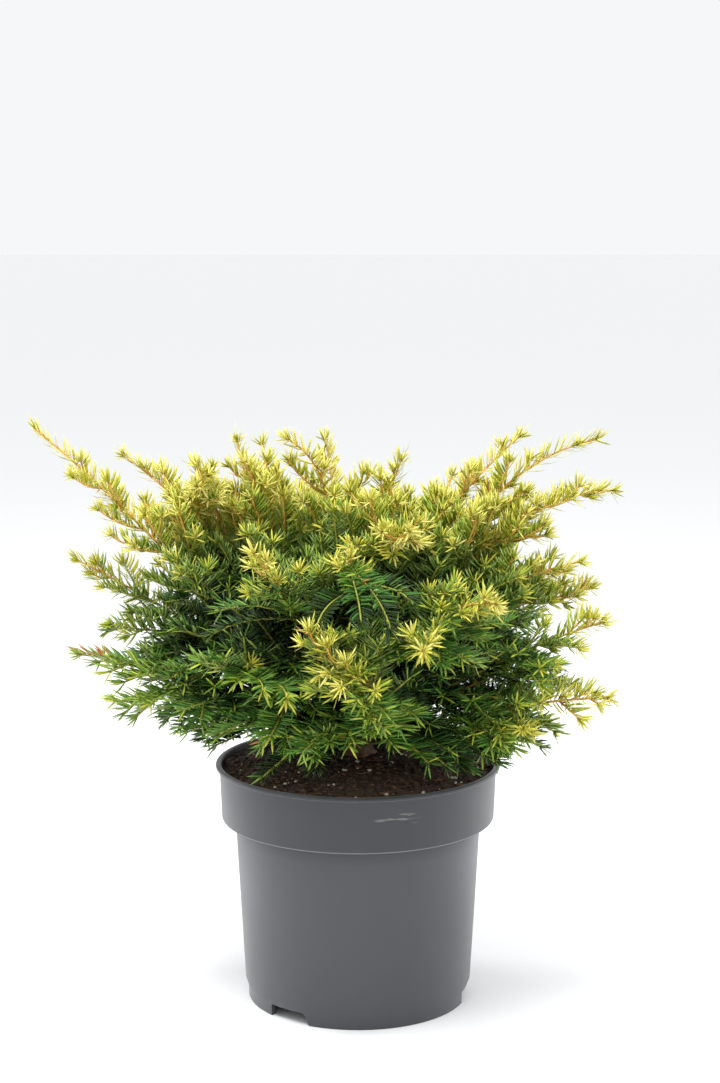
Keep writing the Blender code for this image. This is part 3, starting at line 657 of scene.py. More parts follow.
# Where each limb ends, round the pot's axis: azimuth in degrees from +X to +Y, reach and height,
# then its rise in degrees where it leaves the stem and at its tip, its twin shoot's tip, its tone
Limb = namedtuple("Limb", "name azimuth reach height leaves ends twin tone")
LIMBS = (
    Limb("left_long", 176, 0.310, 0.545, 30, 38, None, "gold"),
    Limb("left_high", 163, 0.242, 0.513, 45, 32, (166, 0.162, 0.512), "gold"),
    Limb("left_middle", 170, 0.280, 0.414, 22, 24, (177, 0.242, 0.358), "lime"),
    Limb("left_low", 185, 0.268, 0.334, 14, 6, (195, 0.238, 0.299), "green"),
    Limb("top_left", 172, 0.115, 0.537, 58, 80, (142, 0.118, 0.528), "gold"),
    Limb("top_middle", 140, 0.042, 0.538, 84, 76, None, "gold"),
    Limb("top_right", -30, 0.051, 0.524, 72, 62, (288, 0.150, 0.470), "gold"),
    Limb("right_upright", 24, 0.177, 0.532, 62, 36, (45, 0.134, 0.494), "gold"),
    Limb("right_high", 8, 0.236, 0.529, 48, 8, None, "gold"),
    Limb("right_upper", -5, 0.244, 0.486, 46, 0, None, "gold"),
    Limb("right_middle", -12, 0.216, 0.425, 34, 10, (-3, 0.226, 0.398), "gold"),
    Limb("right_lower", -18, 0.242, 0.376, 20, 18, None, "lime"),
    Limb("right_low", -22, 0.253, 0.308, 8, 4, (-31, 0.190, 0.277), "lime"),
    Limb("front_right", 303, 0.226, 0.410, 40, 2, (284, 0.229, 0.378), "gold"),
    Limb("front_middle", 264, 0.190, 0.384, 36, 30, None, "lime"),
    Limb("front_left", 241, 0.192, 0.457, 44, 42, None, "gold"),
    Limb("front_left_low", 226, 0.205, 0.352, 18, 8, None, "green"),
    Limb("front_centre", 267, 0.128, 0.446, 58, 46, None, "lime"),
    Limb("front_low", 277, 0.182, 0.306, 12, -8, None, "green"),
)
# The same for limbs that a rule spreads, at the back and low over the soil
RULED_LIMBS = (
    ("back_high", (62, 92, 122), 0.215, 0.495, (48, 34), "gold"),
    ("back_low", (36, 72, 108, 146), 0.235, 0.362, (20, 12), "lime"),
    ("skirt", (229, 253, 299, 326, 58, 128), 0.136, 0.245, (16, -28), "green"),
)
RULED_JITTER = 0.06

# Sprays off the leaders: their limb, where they leave its leader, their tip, their rise where they
# leave and at their tip, and their vigour. Those whose tip doesn't rise are flat and hang.
Spray = namedtuple("Spray", "limb share azimuth reach height leaves ends vigour")
# Vigour sets how golden a spray's needles are, as new growth; the low and negative values also paint
# shade on sprays deep in the crown
SPRAYS = (
    Spray("front_low", 0.62, 257, 0.188, 0.398, 66, 84, 1.60),
    Spray("front_low", 0.74, 267, 0.204, 0.374, 66, 86, 1.70),
    Spray("front_low", 0.68, 262, 0.198, 0.386, 62, 80, 1.70),
    Spray("front_left_low", 0.60, 232, 0.150, 0.350, 50, 72, 0.50),
    Spray("left_high", 0.50, 196, 0.157, 0.519, 62, 50, 0.60),
    Spray("top_middle", 0.50, 205, 0.080, 0.538, 74, 20, 0.60),
    Spray("top_left", 0.42, 190, 0.110, 0.520, 74, 60, 0.60),
    Spray("front_left", 0.38, 226, 0.184, 0.392, 20, -12, -0.12),
    Spray("front_left", 0.31, 216, 0.169, 0.362, 10, -30, -0.10),
    Spray("front_left", 0.50, 246, 0.176, 0.410, 10, -40, -0.32),
    Spray("front_centre", 0.86, 271, 0.188, 0.386, -5, -55, -0.42),
    Spray("front_centre", 0.90, 279, 0.190, 0.378, -5, -60, -0.38),
    Spray("front_centre", 0.60, 258, 0.180, 0.378, -5, -55, -0.42),
    Spray("front_centre", 0.70, 288, 0.160, 0.398, 0, -50, -0.40),
    Spray("front_left_low", 0.40, 232, 0.180, 0.330, 10, -40, 0.06),
    Spray("front_left_low", 0.52, 243, 0.184, 0.322, 10, -50, 0.10),
    Spray("front_left_low", 0.36, 250, 0.182, 0.316, 10, -50, 0.10),
    Spray("front_low", 0.42, 275, 0.153, 0.284, 0, -45, 0.06),
    Spray("front_low", 0.50, 288, 0.176, 0.302, 5, -40, 0.10),
    Spray("front_right", 0.45, 293, 0.186, 0.349, 5, -40, -0.02),
    Spray("front_right", 0.48, 295, 0.198, 0.389, 25, -15, -0.04),
    Spray("right_lower", 0.48, 330, 0.198, 0.314, 10, -20, 0.10),
    Spray("right_low", 0.32, 320, 0.172, 0.272, 5, -35, 0.10),
    Spray("back_low_1", 0.30, 38, 0.120, 0.322, 20, 0, -0.20),
    Spray("back_low_1", 0.40, 50, 0.140, 0.300, 10, -20, -0.20),
    Spray("back_low_2", 0.25, 45, 0.125, 0.290, 10, -20, -0.20),
    Spray("right_low", 0.30, 10, 0.140, 0.300, 20, -10, -0.20),
    Spray("right_low", 0.20, 350, 0.120, 0.285, 20, -20, -0.20),
    Spray("back_low_1", 0.15, 20, 0.132, 0.290, 10, -20, -0.20),
    Spray("back_low_1", 0.50, 26, 0.170, 0.312, 10, -10, -0.20),
    Spray("right_low", 0.45, 4, 0.165, 0.292, 15, -10, -0.20),
    Spray("right_low", 0.10, 25, 0.130, 0.276, 10, -20, -0.20),
    Spray("right_lower", 0.15, 5, 0.142, 0.322, 10, -20, -0.20),
    Spray("right_lower", 0.25, 350, 0.160, 0.300, 5, -30, -0.20),
    Spray("skirt_5", 0.50, 40, 0.130, 0.268, 10, -10, -0.20),
    Spray("skirt_5", 0.40, 34, 0.108, 0.270, 10, -10, -0.20),
    Spray("back_low_2", 0.10, 60, 0.104, 0.276, 10, -10, -0.20),
    Spray("skirt_4", 0.25, 332, 0.088, 0.308, 70, 80, -0.25),
    Spray("skirt_3", 0.25, 306, 0.078, 0.300, 70, 80, -0.25),
    Spray("skirt_1", 0.45, 240, 0.128, 0.256, 0, -40, -0.05),
    Spray("skirt_2", 0.45, 250, 0.119, 0.240, -5, -35, -0.10),
    Spray("skirt_3", 0.45, 311, 0.130, 0.240, -5, -35, -0.10),
)


def rising(azimuth, rise):
    """The unit vector at this azimuth and rise, both in degrees."""
    slope = math.radians(rise)
    return around(azimuth) * math.cos(slope) + Vector((0, 0, math.sin(slope)))


def stem_point(height):
    """The middle of the stem at this height above its foot."""
    return Vector((0, 0, SOIL_TOP_HEIGHT + SEAT_GAP)) + STEM_LEAN * height


def stem_radius(height, azimuth):
    """The stem narrows upwards, and spreads to its roots at the foot in lobes."""
    below_tip = STEM_RADIUS + (STEM_TIP_RADIUS - STEM_RADIUS) * height / STEM_HEIGHT
    spreading = max(0.0, 1 - height / FLARE_HEIGHT) ** 2
    lobe = 1 - FLARE_DIP / 2 * (1 - math.cos(math.radians(azimuth * FLARE_LOBES)))
    return below_tip + (FLARE_RADIUS - STEM_RADIUS) * spreading * lobe


def curve(ends, leaving, arriving, steps=60):
    """Points of a smooth curve between two ends that leaves and arrives in these directions."""
    first, last = np.array(ends[0]), np.array(ends[1])
    handle = HANDLE_SHARE * np.linalg.norm(last - first)
    bones = (first, first + handle * np.array(leaving), last - handle * np.array(arriving), last)
    shares = np.linspace(0, 1, steps)[:, None]
    left = 1 - shares
    weights = (left**3, 3 * shares * left**2, 3 * shares**2 * left, shares**3)
    return sum(weight * bone for weight, bone in zip(weights, bones))


def stretch(points, start, end, step):
    """Evenly spaced points from one length along the route to another, about a step apart."""
    along = np.concatenate(([0], np.cumsum(np.linalg.norm(np.diff(points, axis=0), axis=1))))
    count = max(1, round((end - start) / step))
    places = np.linspace(start, end, count + 1)
    return np.stack([np.interp(places, along, points[:, axis]) for axis in range(3)], axis=1)


def length_of(points):
    """How long a route is."""
    return float(np.linalg.norm(np.diff(points, axis=0), axis=1).sum())


def gap_to_stem(point):
    """How far a point is from the stem's side, measured level."""
    height = point.z - stem_point(0).z
    off = point - stem_point(height)
    return off.length - stem_radius(height, math.degrees(math.atan2(off.y, off.x)))


def has_bough(limb):
    """The low skirt shoots and the middle one grow straight from the stem."""
    return not limb.name.startswith(BOUGHLESS)


def limb_route(limb, height):
    """The limb's whole curve, from just off the stem to its tip."""
    leaving = rising(limb.azimuth, limb.leaves)
    if limb.leaves > STEEPEST_SIDE:
        start = stem_point(STEM_HEIGHT) + STEM_LEAN * SEAT_GAP
        leaving = STEM_LEAN.normalized()
    else:
        level = around(limb.azimuth + 90)
        turns = (math.radians(turn) for turn in range(0, 360, RIM_STEP))
        steep = leaving.cross(level)
        radius = BOUGH_RADIUS if has_bough(limb) else BOUGH_TIP_RADIUS
        rim = [radius * (math.cos(t) * level + math.sin(t) * steep) for t in turns]
        start = stem_point(height)
        while min(gap_to_stem(start + corner) for corner in rim) < SEAT_GAP:
            start = start + leaving * SEAT_STEP
    tip = around(limb.azimuth) * limb.reach + Vector((0, 0, limb.height))
    return curve((start, tip), leaving, rising(limb.azimuth, limb.ends))


def all_limbs():
    """The limbs of the photographed side, then those of the back and the skirt by rule."""
    chance = random.Random(SEED)

    def about(size):
        return size * (1 + chance.uniform(-RULED_JITTER, RULED_JITTER))

    limbs = list(LIMBS)
    for group, azimuths, reach, height, rise, tone in RULED_LIMBS:
        for number, azimuth in enumerate(azimuths, 1):
            place = (azimuth, about(reach), about(height))
            limbs.append(Limb(f"{group}_{number}", *place, *rise, None, tone))
    return limbs


def body_of(route):
    """Points and radii of the whole limb: its bough, then room for the foot of its needles."""
    foot = BOUGH_SHARE * length_of(route)
    points = stretch(route, 0, foot, FINE_STEP)
    radii = np.linspace(BOUGH_RADIUS, BOUGH_TIP_RADIUS, len(points))
    rest = stretch(route, foot, length_of(route), FINE_STEP)
    return np.concatenate((points, rest)), np.concatenate((radii, np.full(len(rest), LEADER_ROOM)))


def clear_of(limb, others):
    """Whether a limb passes every other one with room to spare."""
    points, radii = limb
    for other_points, other_radii in others:
        gaps = np.linalg.norm(points[:, None] - other_points, axis=2) - radii[:, None] - other_radii
        if gaps.min() < BOUGH_CLEARANCE:
            return False
    return True


def limb_layout():
    """Each limb with its route. The flatter a limb lies, the lower it leaves the stem."""
    limbs = all_limbs()
    height = LOWEST_LIMB
    routes, bodies = {}, []
    slopes = {limb: math.atan2(limb.height - SOIL_TOP_HEIGHT, limb.reach) for limb in limbs}
    for limb in sorted(limbs, key=slopes.get):
        route = limb_route(limb, height)
        while not clear_of(body_of(route), bodies) and height < STEM_HEIGHT:
            height += LIMB_RISE
            route = limb_route(limb, height)
        routes[limb.name] = route
        bodies.append(body_of(route))
        height += LIMB_RISE
    return [(limb, routes[limb.name]) for limb in limbs]


WOOD_SIDES = 20
WOOD_STEP = 0.0022
WOOD_SUNK = 0.006
FURROW_DEPTH = 0.10
FURROWS_ROUND = 2.6
FURROWS_ALONG = 70
FURROW_OCTAVES = (0.8, 2.2, 3)
LIMB_SHIFT = 3.0
COLLAR_SWELL = 0.45
COLLAR_FADE = 14
BARK_DARK = (70, 46, 32)
BARK_LIGHT = (122, 88, 62)
BARK_STRETCH = (1, 1, 0.35)


def furrowed(points, radii, shift):
    """The limb's radius all round: furrows run along it, and flakes lift here and there."""
    turns = np.arange(WOOD_SIDES) * 2 * np.pi / WOOD_SIDES
    along = np.concatenate(([0], np.cumsum(np.linalg.norm(np.diff(points, axis=0), axis=1))))
    relief = np.empty((len(points), WOOD_SIDES))
    for ring, place in enumerate(along):
        for side, turn in enumerate(turns):
            x, y = math.cos(turn) * FURROWS_ROUND + shift, math.sin(turn) * FURROWS_ROUND
            spot = Vector((x, y, place * FURROWS_ALONG))
            relief[ring, side] = noise.fractal(spot, *FURROW_OCTAVES)
    return radii.reshape(len(points), -1) * (1 + FURROW_DEPTH * relief)


layout = limb_layout()
heights = np.linspace(0, STEM_HEIGHT, round(STEM_HEIGHT / WOOD_STEP))
stem_line = np.array([stem_point(height) for height in heights])
turns = np.degrees(np.arange(WOOD_SIDES) * 2 * np.pi / WOOD_SIDES)
stem_radii = np.array([[stem_radius(height, turn) for turn in turns] for height in heights])
wood = [(stem_line, furrowed(stem_line, stem_radii, 0), (1, 0, 0))]
for number, (limb, route) in enumerate(layout):
    if has_bough(limb):
        line = stretch(route, 0, BOUGH_SHARE * length_of(route), WOOD_STEP)
        leaving = line[0] - line[1]
        line = np.concatenate((line[:1] + unit(leaving) * WOOD_SUNK, line))
        radii = np.linspace(BOUGH_RADIUS, BOUGH_TIP_RADIUS, len(line))
        off = np.linspace(0, 1, len(line))
        radii = radii * (1 + COLLAR_SWELL * np.exp(-off * COLLAR_FADE))
        left = around(limb.azimuth + 90)
        wood.append((line, furrowed(line, radii[:, None], LIMB_SHIFT * number), left))
bark_piece = rope("stem_and_boughs", wood, WOOD_SIDES)
bark_piece.data.shade_smooth()

browns = (BARK_DARK, BARK_LIGHT)
bark, shader, _, patches = mottled("bark", *browns, scale=190, detail=6, stretch_by=BARK_STRETCH)
flakes = raised(bark.node_tree, patches["Mask"], strength=0.55, distance=0.0008)
feed(bark.node_tree, shader, {"Roughness": 0.82, "Normal": flakes})
dressed(bark_piece, "bark", bark)
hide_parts("stem", *(f"bough_{limb.name}" for limb, _ in layout if has_bough(limb)))


# The foliage: each limb goes on as a leader, with side shoots off it and short spurs off those.
# Flat needles stand along them in two ranks, or all round upright shoots and bright leaders. New
# growth is golden and shaded growth deep green, and the needles' tints also carry painted light and
# shade: brighter at the crown's top and rim, darker deep inside, low down and in a few hollows.

SHOOT_STEP = 0.006
TIP_GAP = 0.010
LEADER_RADIUS = 0.0017
TWIN_RADIUS = 0.0014
SPRAY_RADIUS = 0.0013
SIDE_RADIUS = 0.0011
FINE_RADIUS = 0.0008
BUD_RADIUS = 0.0009
TWIG_STEP = 0.009
TWIG_SECTION = 4
TWIG_SIDES = 5
TWIN_PART = 5
TWIN_LIFT = (0, 0, 0.02)
UPRIGHT_RISE = 55
SPIRAL_TURN = 137.5

# Side shoots: where they leave, how they turn and how long they are
FIRST_PLACE = (0.2, 0.8)
SIDE_SPACING = 0.0110
SPACING_JITTER = (0.7, 1.3)
SPACING_AT_FOOT = 0.75
SPACING_GROWTH = 0.7
SIDE_SPAN = (0, 0.91)
SPIRAL_SPAN = (0, 0.84)
SIDE_ANGLE = 50
SIDE_ANGLE_JITTER = 10
SIDE_ROLL = 58
SIDE_TILT = 0.35
SIDE_TURN_IN = 0.375
LIFTED_BETWEEN = (0.30, 0.42)
SIDE_SAG = -0.60
SIDE_LIFT = 0.90
SIDE_LIFT_JITTER = 0.4
SIDE_LENGTH_LOW = 0.098
SIDE_LENGTH_HIGH = 0.013
SIDE_LENGTH_BACK = 0.052
SIDE_LENGTH_JITTER = (0.72, 1.18)
SIDE_FADE = 1.35
SHORT_STEM_SHARE = 0.35
FULL_STEM = 0.3
SPRAY_VIGOUR = 0.55
SPUR_STEM = 0.050
SPUR_SPACING = 0.017
SPURS_WIDER_BY = 0.8
SPURS_WIDER_BETWEEN = (0.36, 0.48)
SPUR_SPAN = (0.1, 0.9)
SPUR_SHARE = 0.55
SPUR_AT_TIP = 0.014
STAR_SPACING = 0.042
STAR_SPAN = (0.35, 0.90)
STAR_LENGTHS = (0.014, 0.010)
STAR_LIGHT = 0.30
INNER_START = 0.30
INNER_SPACING = 0.0062
INNER_LENGTHS = (0.072, 0.102)
INNER_VIGOUR = -0.10

# The crown's reach, round the pot's axis
CROWN_TOP = 0.552
SIDE_CEILING = 0.502
BACK_CEILING = 0.486
CEILING_JITTER = (-0.040, 0.012)
CEILING_FALL = 0.155
TALLER_TOP = 0.026
TALLER_AT = (-0.105, 0.045)
LOWEST_FRONT = 0.267
LOWEST_SIDE = 0.238
FRONT_AZIMUTHS = (205, 335)
BOX_MARGIN = 0.0006
POT_MARGIN = 0.002
SOIL_ROOM = 0.004

# The light and shade painted into the needles' tints, and where it is darker or brighter than the rule:
# middle, spread, amount
LIT_HEIGHTS = (0.33, 0.48)
LIT_RIM = (0.15, 0.27)
LIT_RIGHT = (0.08, 0.22)
DIM_CORE = (0.30, 0.80)
TOP_LIGHT = 0.80
RIM_LIGHT = 0.18
RIGHT_LIGHT = 0.52
CORE_SHADE = 0.36
CROWN_MIDDLE = np.array((-0.02, 0.0, 0.36))
CROWN_SPREAD = np.array((0.26, 0.21, 0.18))
LIT_SPOTS = (
    ((-0.03, -0.15, 0.395), (0.13, 0.11, 0.045), -0.28),
    ((-0.07, -0.16, 0.300), (0.12, 0.12, 0.045), 0.28),
    ((0.10, -0.15, 0.275), (0.07, 0.12, 0.035), 0.20),
    ((0.22, -0.08, 0.290), (0.09, 0.12, 0.045), 0.34),
    ((0.04, -0.17, 0.305), (0.05, 0.07, 0.035), -0.20),
    ((-0.21, -0.05, 0.300), (0.09, 0.12, 0.050), 0.12),
    ((-0.08, 0.00, 0.520), (0.12, 0.14, 0.050), 0.15),
)
SHADED_BELOW = (0.238, 0.280)
SHADED_BY = 0.22
VIGOUR = {"gold": 0.62, "lime": 0.45, "green": 0.08}

# A shoot's order says what it is, and gives its needles their share of the full length
LEADER, SIDE, SPUR, STAR, HANGING = range(5)
LENGTH_BY_ORDER = (0.96, 0.90, 0.80, 0.66, 0.76)
fields = "points across radius order vigour upright dry"
Shoot = namedtuple("Shoot", fields, defaults=(False, False))


def allowed(points):
    """Which points are inside the crown's reach and clear of the pot and its soil."""
    world_points = points + np.array(POT_AXIS)
    low = np.array(cad_box[0]) + BOX_MARGIN
    high = np.array(cad_box[1]) - BOX_MARGIN
    inside_box = ((world_points > low) & (world_points < high)).all(axis=-1)
    radius = np.hypot(points[..., 0], points[..., 1])
    ground = np.maximum(soil_height(radius) + SOIL_ROOM, POT_HEIGHT)
    off_pot = (radius > LIP_RADIUS + POT_MARGIN) | (points[..., 2] > ground + POT_MARGIN)
    return inside_box & off_pot


def smooth(value, low, high):
    """Rises smoothly from 0 at the low value to 1 at the high one."""
    share = np.clip((value - low) / (high - low), 0, 1)
    return share * share * (3 - 2 * share)


def near(points, middle, spread):
    """One at the middle of a soft-edged egg, and nothing far from it."""
    return np.exp(-(((points - middle) / spread) ** 2).sum(axis=-1))


def sunlight(points):
    """How much light reaches a place of the crown: all at its top and rim, none deep inside."""
    radius = np.hypot(points[..., 0], points[..., 1])
    high = smooth(points[..., 2], *LIT_HEIGHTS)
    right = smooth(points[..., 0], *LIT_RIGHT)
    rim = smooth(radius, *LIT_RIM)
    outness = np.linalg.norm((points - CROWN_MIDDLE) / CROWN_SPREAD, axis=-1)
    light = TOP_LIGHT * high + (RIM_LIGHT + RIGHT_LIGHT * right) * rim
    light = light - CORE_SHADE * (1 - smooth(outness, *DIM_CORE))
    for middle, spread, amount in LIT_SPOTS:
        light = light + amount * near(points, np.array(middle), np.array(spread))
    return light - SHADED_BY * (1 - smooth(points[..., 2], *SHADED_BELOW))


def side_routes(stem, across, upright, spacing, lengths, span, chance):
    """Shoots that leave a stem to the left and right in turn, or all round it if it is upright."""
    along, across, up = frames(stem, across)
    total = length_of(stem)
    place = total * span[0] + spacing * chance.uniform(*FIRST_PLACE)
    number = chance.randrange(2)
    while place < total * span[1]:
        share = place / total
        joint = min(len(stem) - 2, round(share * (len(stem) - 1)))
        if upright:
            turn = math.radians(SPIRAL_TURN * number)
        else:
            turn = math.radians(180 * (number % 2) + chance.uniform(-SIDE_ROLL, SIDE_ROLL))
        out = across[joint] * math.cos(turn) + up[joint] * math.sin(turn)
        angle = math.radians(SIDE_ANGLE + chance.uniform(-SIDE_ANGLE_JITTER, SIDE_ANGLE_JITTER))
        first = along[joint] * math.cos(angle) + out * math.sin(angle)
        bright = smooth(stem[joint][2], *LIFTED_BETWEEN)
        lift = SIDE_SAG + SIDE_LIFT * bright + chance.uniform(0, SIDE_LIFT_JITTER)
        last = unit(first + SIDE_TURN_IN * (1 + bright) * along[joint] + np.array((0, 0, lift)))
        length = lengths[1] + (lengths[0] - lengths[1]) * (1 - share) ** SIDE_FADE
        length *= chance.uniform(*SIDE_LENGTH_JITTER)
        steps = max(2, round(length / SHOOT_STEP))
        turning = np.linspace(0, 1, steps)[:, None]
        moves = unit(first * (1 - turning) + last * turning) * length / steps
        points = stem[joint] + np.concatenate((np.zeros((1, 3)), np.cumsum(moves, axis=0)))
        yield points, np.cross((0, 0, 1), first) + SIDE_TILT * across[joint], share
        place += spacing * chance.uniform(*SPACING_JITTER) * (SPACING_AT_FOOT + SPACING_GROWTH * share)
        number += 1


def kept(points, ceiling, lowest=0.0):
    """The route up to where it would leave the crown's reach."""
    lowered = points[:, 2] + CEILING_FALL * np.maximum(points[:, 1], 0)
    lowered = lowered - TALLER_TOP * np.exp(-(((points[:, 0] - TALLER_AT[0]) / TALLER_AT[1]) ** 2))
    fine = allowed(points) & (points[:, 2] < CROWN_TOP) & (lowered < ceiling) & (points[:, 2] > lowest)
    stop = len(points) if fine.all() else int(np.argmin(fine))
    return points[:stop]


def leading(limb, leader):
    """The limb's twin and its sprays, and those of them that carry side shoots."""
    left = around(limb.azimuth + 90)
    upright = limb.ends > UPRIGHT_RISE
    shoots, stems = [], []
    if limb.twin is not None:
        azimuth, reach, height = limb.twin
        joint = max(1, len(leader) // TWIN_PART)
        tip = around(azimuth) * reach + Vector((0, 0, height))
        leaving = unit(np.gradient(leader, axis=0))[joint]
        arriving = unit(np.array(tip) - leader[joint] + np.array(TWIN_LIFT))
        twin = curve((leader[joint], tip), unit(leaving + arriving), arriving)
        twin = stretch(twin, 0, length_of(twin) - TIP_GAP, SHOOT_STEP)
        shoots.append(Shoot(twin, left, TWIN_RADIUS, LEADER, VIGOUR[limb.tone], upright))
        stems.append((twin, upright, 0))
    for spray in SPRAYS:
        if spray.limb != limb.name:
            continue
        foot = leader[round(spray.share * (len(leader) - 1))]
        tip = around(spray.azimuth) * spray.reach + Vector((0, 0, spray.height))
        leaving, arriving = rising(spray.azimuth, spray.leaves), rising(spray.azimuth, spray.ends)
        line = curve((foot, tip), leaving, arriving)
        line = stretch(line, 0, length_of(line) - TIP_GAP, SHOOT_STEP)
        if spray.ends > 0:
            shoots.append(Shoot(line, left, SPRAY_RADIUS, LEADER, spray.vigour, True))
            stems.append((line, True, spray.vigour))
        else:
            level = np.cross((0, 0, 1), np.array(tip) - foot)
            shoots.append(Shoot(line, level, FINE_RADIUS, HANGING, spray.vigour))
    return shoots, stems


def grown(limb, route, chance):
    """All the shoots of a limb: leaders, sprays, side shoots, spurs, stars and dim inner ones."""
    left = around(limb.azimuth + 90)
    upright = limb.ends > UPRIGHT_RISE
    vigour = VIGOUR[limb.tone]
    at_back = limb.name.startswith("back")
    skirt = limb.name.startswith("skirt")
    ceiling = BACK_CEILING if at_back else SIDE_CEILING
    in_front = FRONT_AZIMUTHS[0] < limb.azimuth % 360 < FRONT_AZIMUTHS[1]
    lowest_here = LOWEST_FRONT if in_front else LOWEST_SIDE
    lowest = 0.0 if skirt else lowest_here
    far_end = SIDE_LENGTH_BACK if at_back else SIDE_LENGTH_HIGH
    start = BOUGH_SHARE * length_of(route) if has_bough(limb) else 0
    leader = stretch(route, start, length_of(route) - TIP_GAP, SHOOT_STEP)
    if at_back:
        leader = kept(leader, ceiling)
    order = HANGING if skirt else LEADER
    dry = limb.name == "left_low"
    more_shoots, more_stems = leading(limb, leader)
    shoots = [Shoot(leader, left, LEADER_RADIUS, order, vigour, upright, dry)] + more_shoots
    stems = [(leader, upright, 0)] + more_stems
    if skirt and in_front:
        stems = []
    for stem, spiral, spray_vigour in stems:
        size = min(1.0, SHORT_STEM_SHARE + length_of(stem) / FULL_STEM)
        lengths = (SIDE_LENGTH_LOW * size, far_end)
        span = SPIRAL_SPAN if spiral else SIDE_SPAN
        routes = side_routes(stem, left, spiral, SIDE_SPACING, lengths, span, chance)
        for points, across, share in routes:
            points = kept(points, ceiling + chance.uniform(*CEILING_JITTER), lowest)
            if len(points) < 3:
                continue
            strong = spray_vigour > 1
            here = SPRAY_VIGOUR * spray_vigour * share if strong else vigour * share**2
            shoots.append(Shoot(points, across, SIDE_RADIUS, SIDE, here))
            size = length_of(points)
            if size < SPUR_STEM:
                continue
            wider = 1 + SPURS_WIDER_BY * float(smooth(points[0][2], *SPURS_WIDER_BETWEEN))
            lengths = (size * SPUR_SHARE, SPUR_AT_TIP)
            spurs = side_routes(points, across, False, SPUR_SPACING * wider, lengths, SPUR_SPAN, chance)
            for spur, level, _ in spurs:
                spur = kept(spur, ceiling, lowest)
                if len(spur) > 2:
                    shoots.append(Shoot(spur, level, FINE_RADIUS, SPUR, here))
        stars = side_routes(stem, left, True, STAR_SPACING, STAR_LENGTHS, STAR_SPAN, chance)
        for points, across, share in stars:
            points = kept(points, CROWN_TOP)
            sunny = float(sunlight(points[:1]).mean()) + vigour * share > STAR_LIGHT
            if len(points) > 1 and sunny:
                shoots.append(Shoot(points, across, FINE_RADIUS, STAR, vigour * share, True))
    if has_bough(limb):
        inner = stretch(route, INNER_START * start, start, SHOOT_STEP)
        fillers = side_routes(inner, left, True, INNER_SPACING, INNER_LENGTHS, (0, 1), chance)
        for points, across, _ in fillers:
            points = kept(points, ceiling, lowest_here)
            if len(points) > 3:
                shoots.append(Shoot(points, across, SIDE_RADIUS, SIDE, INNER_VIGOUR))
    return shoots


NEEDLE_TINTS = (
    ("needle_shade", (38, 60, 22)),
    ("needle_deep", (64, 108, 38)),
    ("needle_green", (92, 134, 46)),
    ("needle_leaf", (130, 158, 52)),
    ("needle_lime", (168, 182, 60)),
    ("needle_honey", (194, 194, 68)),
    ("needle_gold", (210, 202, 78)),
    ("needle_pale", (222, 214, 112)),
    ("needle_rust", (170, 112, 58)),
    ("needle_under", (146, 172, 88)),
)
TWIG_TINTS = (
    ("twig_green", (150, 154, 60)),
    ("twig_amber", (208, 160, 72)),
    ("twig_brown", (112, 80, 52)),
)
UNDERSIDE = len(NEEDLE_TINTS) - 1
RUST = len(NEEDLE_TINTS) - 2
UNDERSIDE_LIMIT = 5
SHOOT_SHADE = 0.06
NEEDLE_SHADE = 0.10
TINTS_IN_LIGHT = 6.2
AMBER_ABOVE = 0.62
BROWN_BELOW = 0.05

# How a needle stands, in degrees. Where there are two values, the second is added in full sun
NEEDLE_PITCH = 0.00138
PITCH_JITTER = 0.25
CLOSER_IN_SHADE = 0.85
FLAT_LIGHT = 0.30
FULL_SUN = 1.6
BARE_FOOT = 0.003
BARE_SHARE = 0.3
FEWEST_NEEDLES = 6
ROUND_LIFT = (-75, 85)
RANK_LIFT = (16, 12)
RANK_LIFT_SPREAD = (7, 25)
SWEEP = (8, 20)
SWEEP_SPREAD = (3, 3)
SWEEP_AT_TIP = 46
VIGOUR_AT_FOOT = 0.35
FACE_UP = 0.8
FACE_FORWARD = 0.35
FACE_SPREAD = 0.16
CURL_OUT = (0.04, 0.22)
CURL_FORWARD = 0.24
CURL_SPREAD = 0.07
DRY_SHARE = 0.003
DRY_TIP_SHARE = 0.5
DRY_TIP = (0.72, 0.95)

NEEDLE_LENGTH = 0.0245
LENGTH_JITTER = (0.88, 1.06)
SHORTER_IN_SUN = 0.20
END_NEEDLE_SHARE = 0.55
SWELL_START = 0.06
SWELL_SPAN = 0.90
SWELL_POWER = 0.40
NEEDLE_WIDTH = 0.0027
WIDTH_JITTER = (0.85, 1.1)
TUFT_NEEDLES = 11
TUFT_VIGOUR = 0.24
TUFT_SPREAD = (25, 72)
TUFT_DEPTH = 0.003
TUFT_LENGTH = (0.010, 0.0175)
TUFT_CURL = 0.10
TUFT_CURL_SPREAD = 0.08


def in_sun(values, sunny):
    """The first of two values in the shade, and their sum in full sun."""
    return values[0] + values[1] * sunny


def tints_of(light, vigour, rng):
    """Each needle's tint, from the light at its place and its shoot's vigour, with some chance."""
    shade = rng.normal(0, SHOOT_SHADE) + rng.normal(0, NEEDLE_SHADE, len(light))
    return np.clip(1 + np.round((light + vigour + shade) * TINTS_IN_LIGHT), 0, RUST - 1).astype(int)


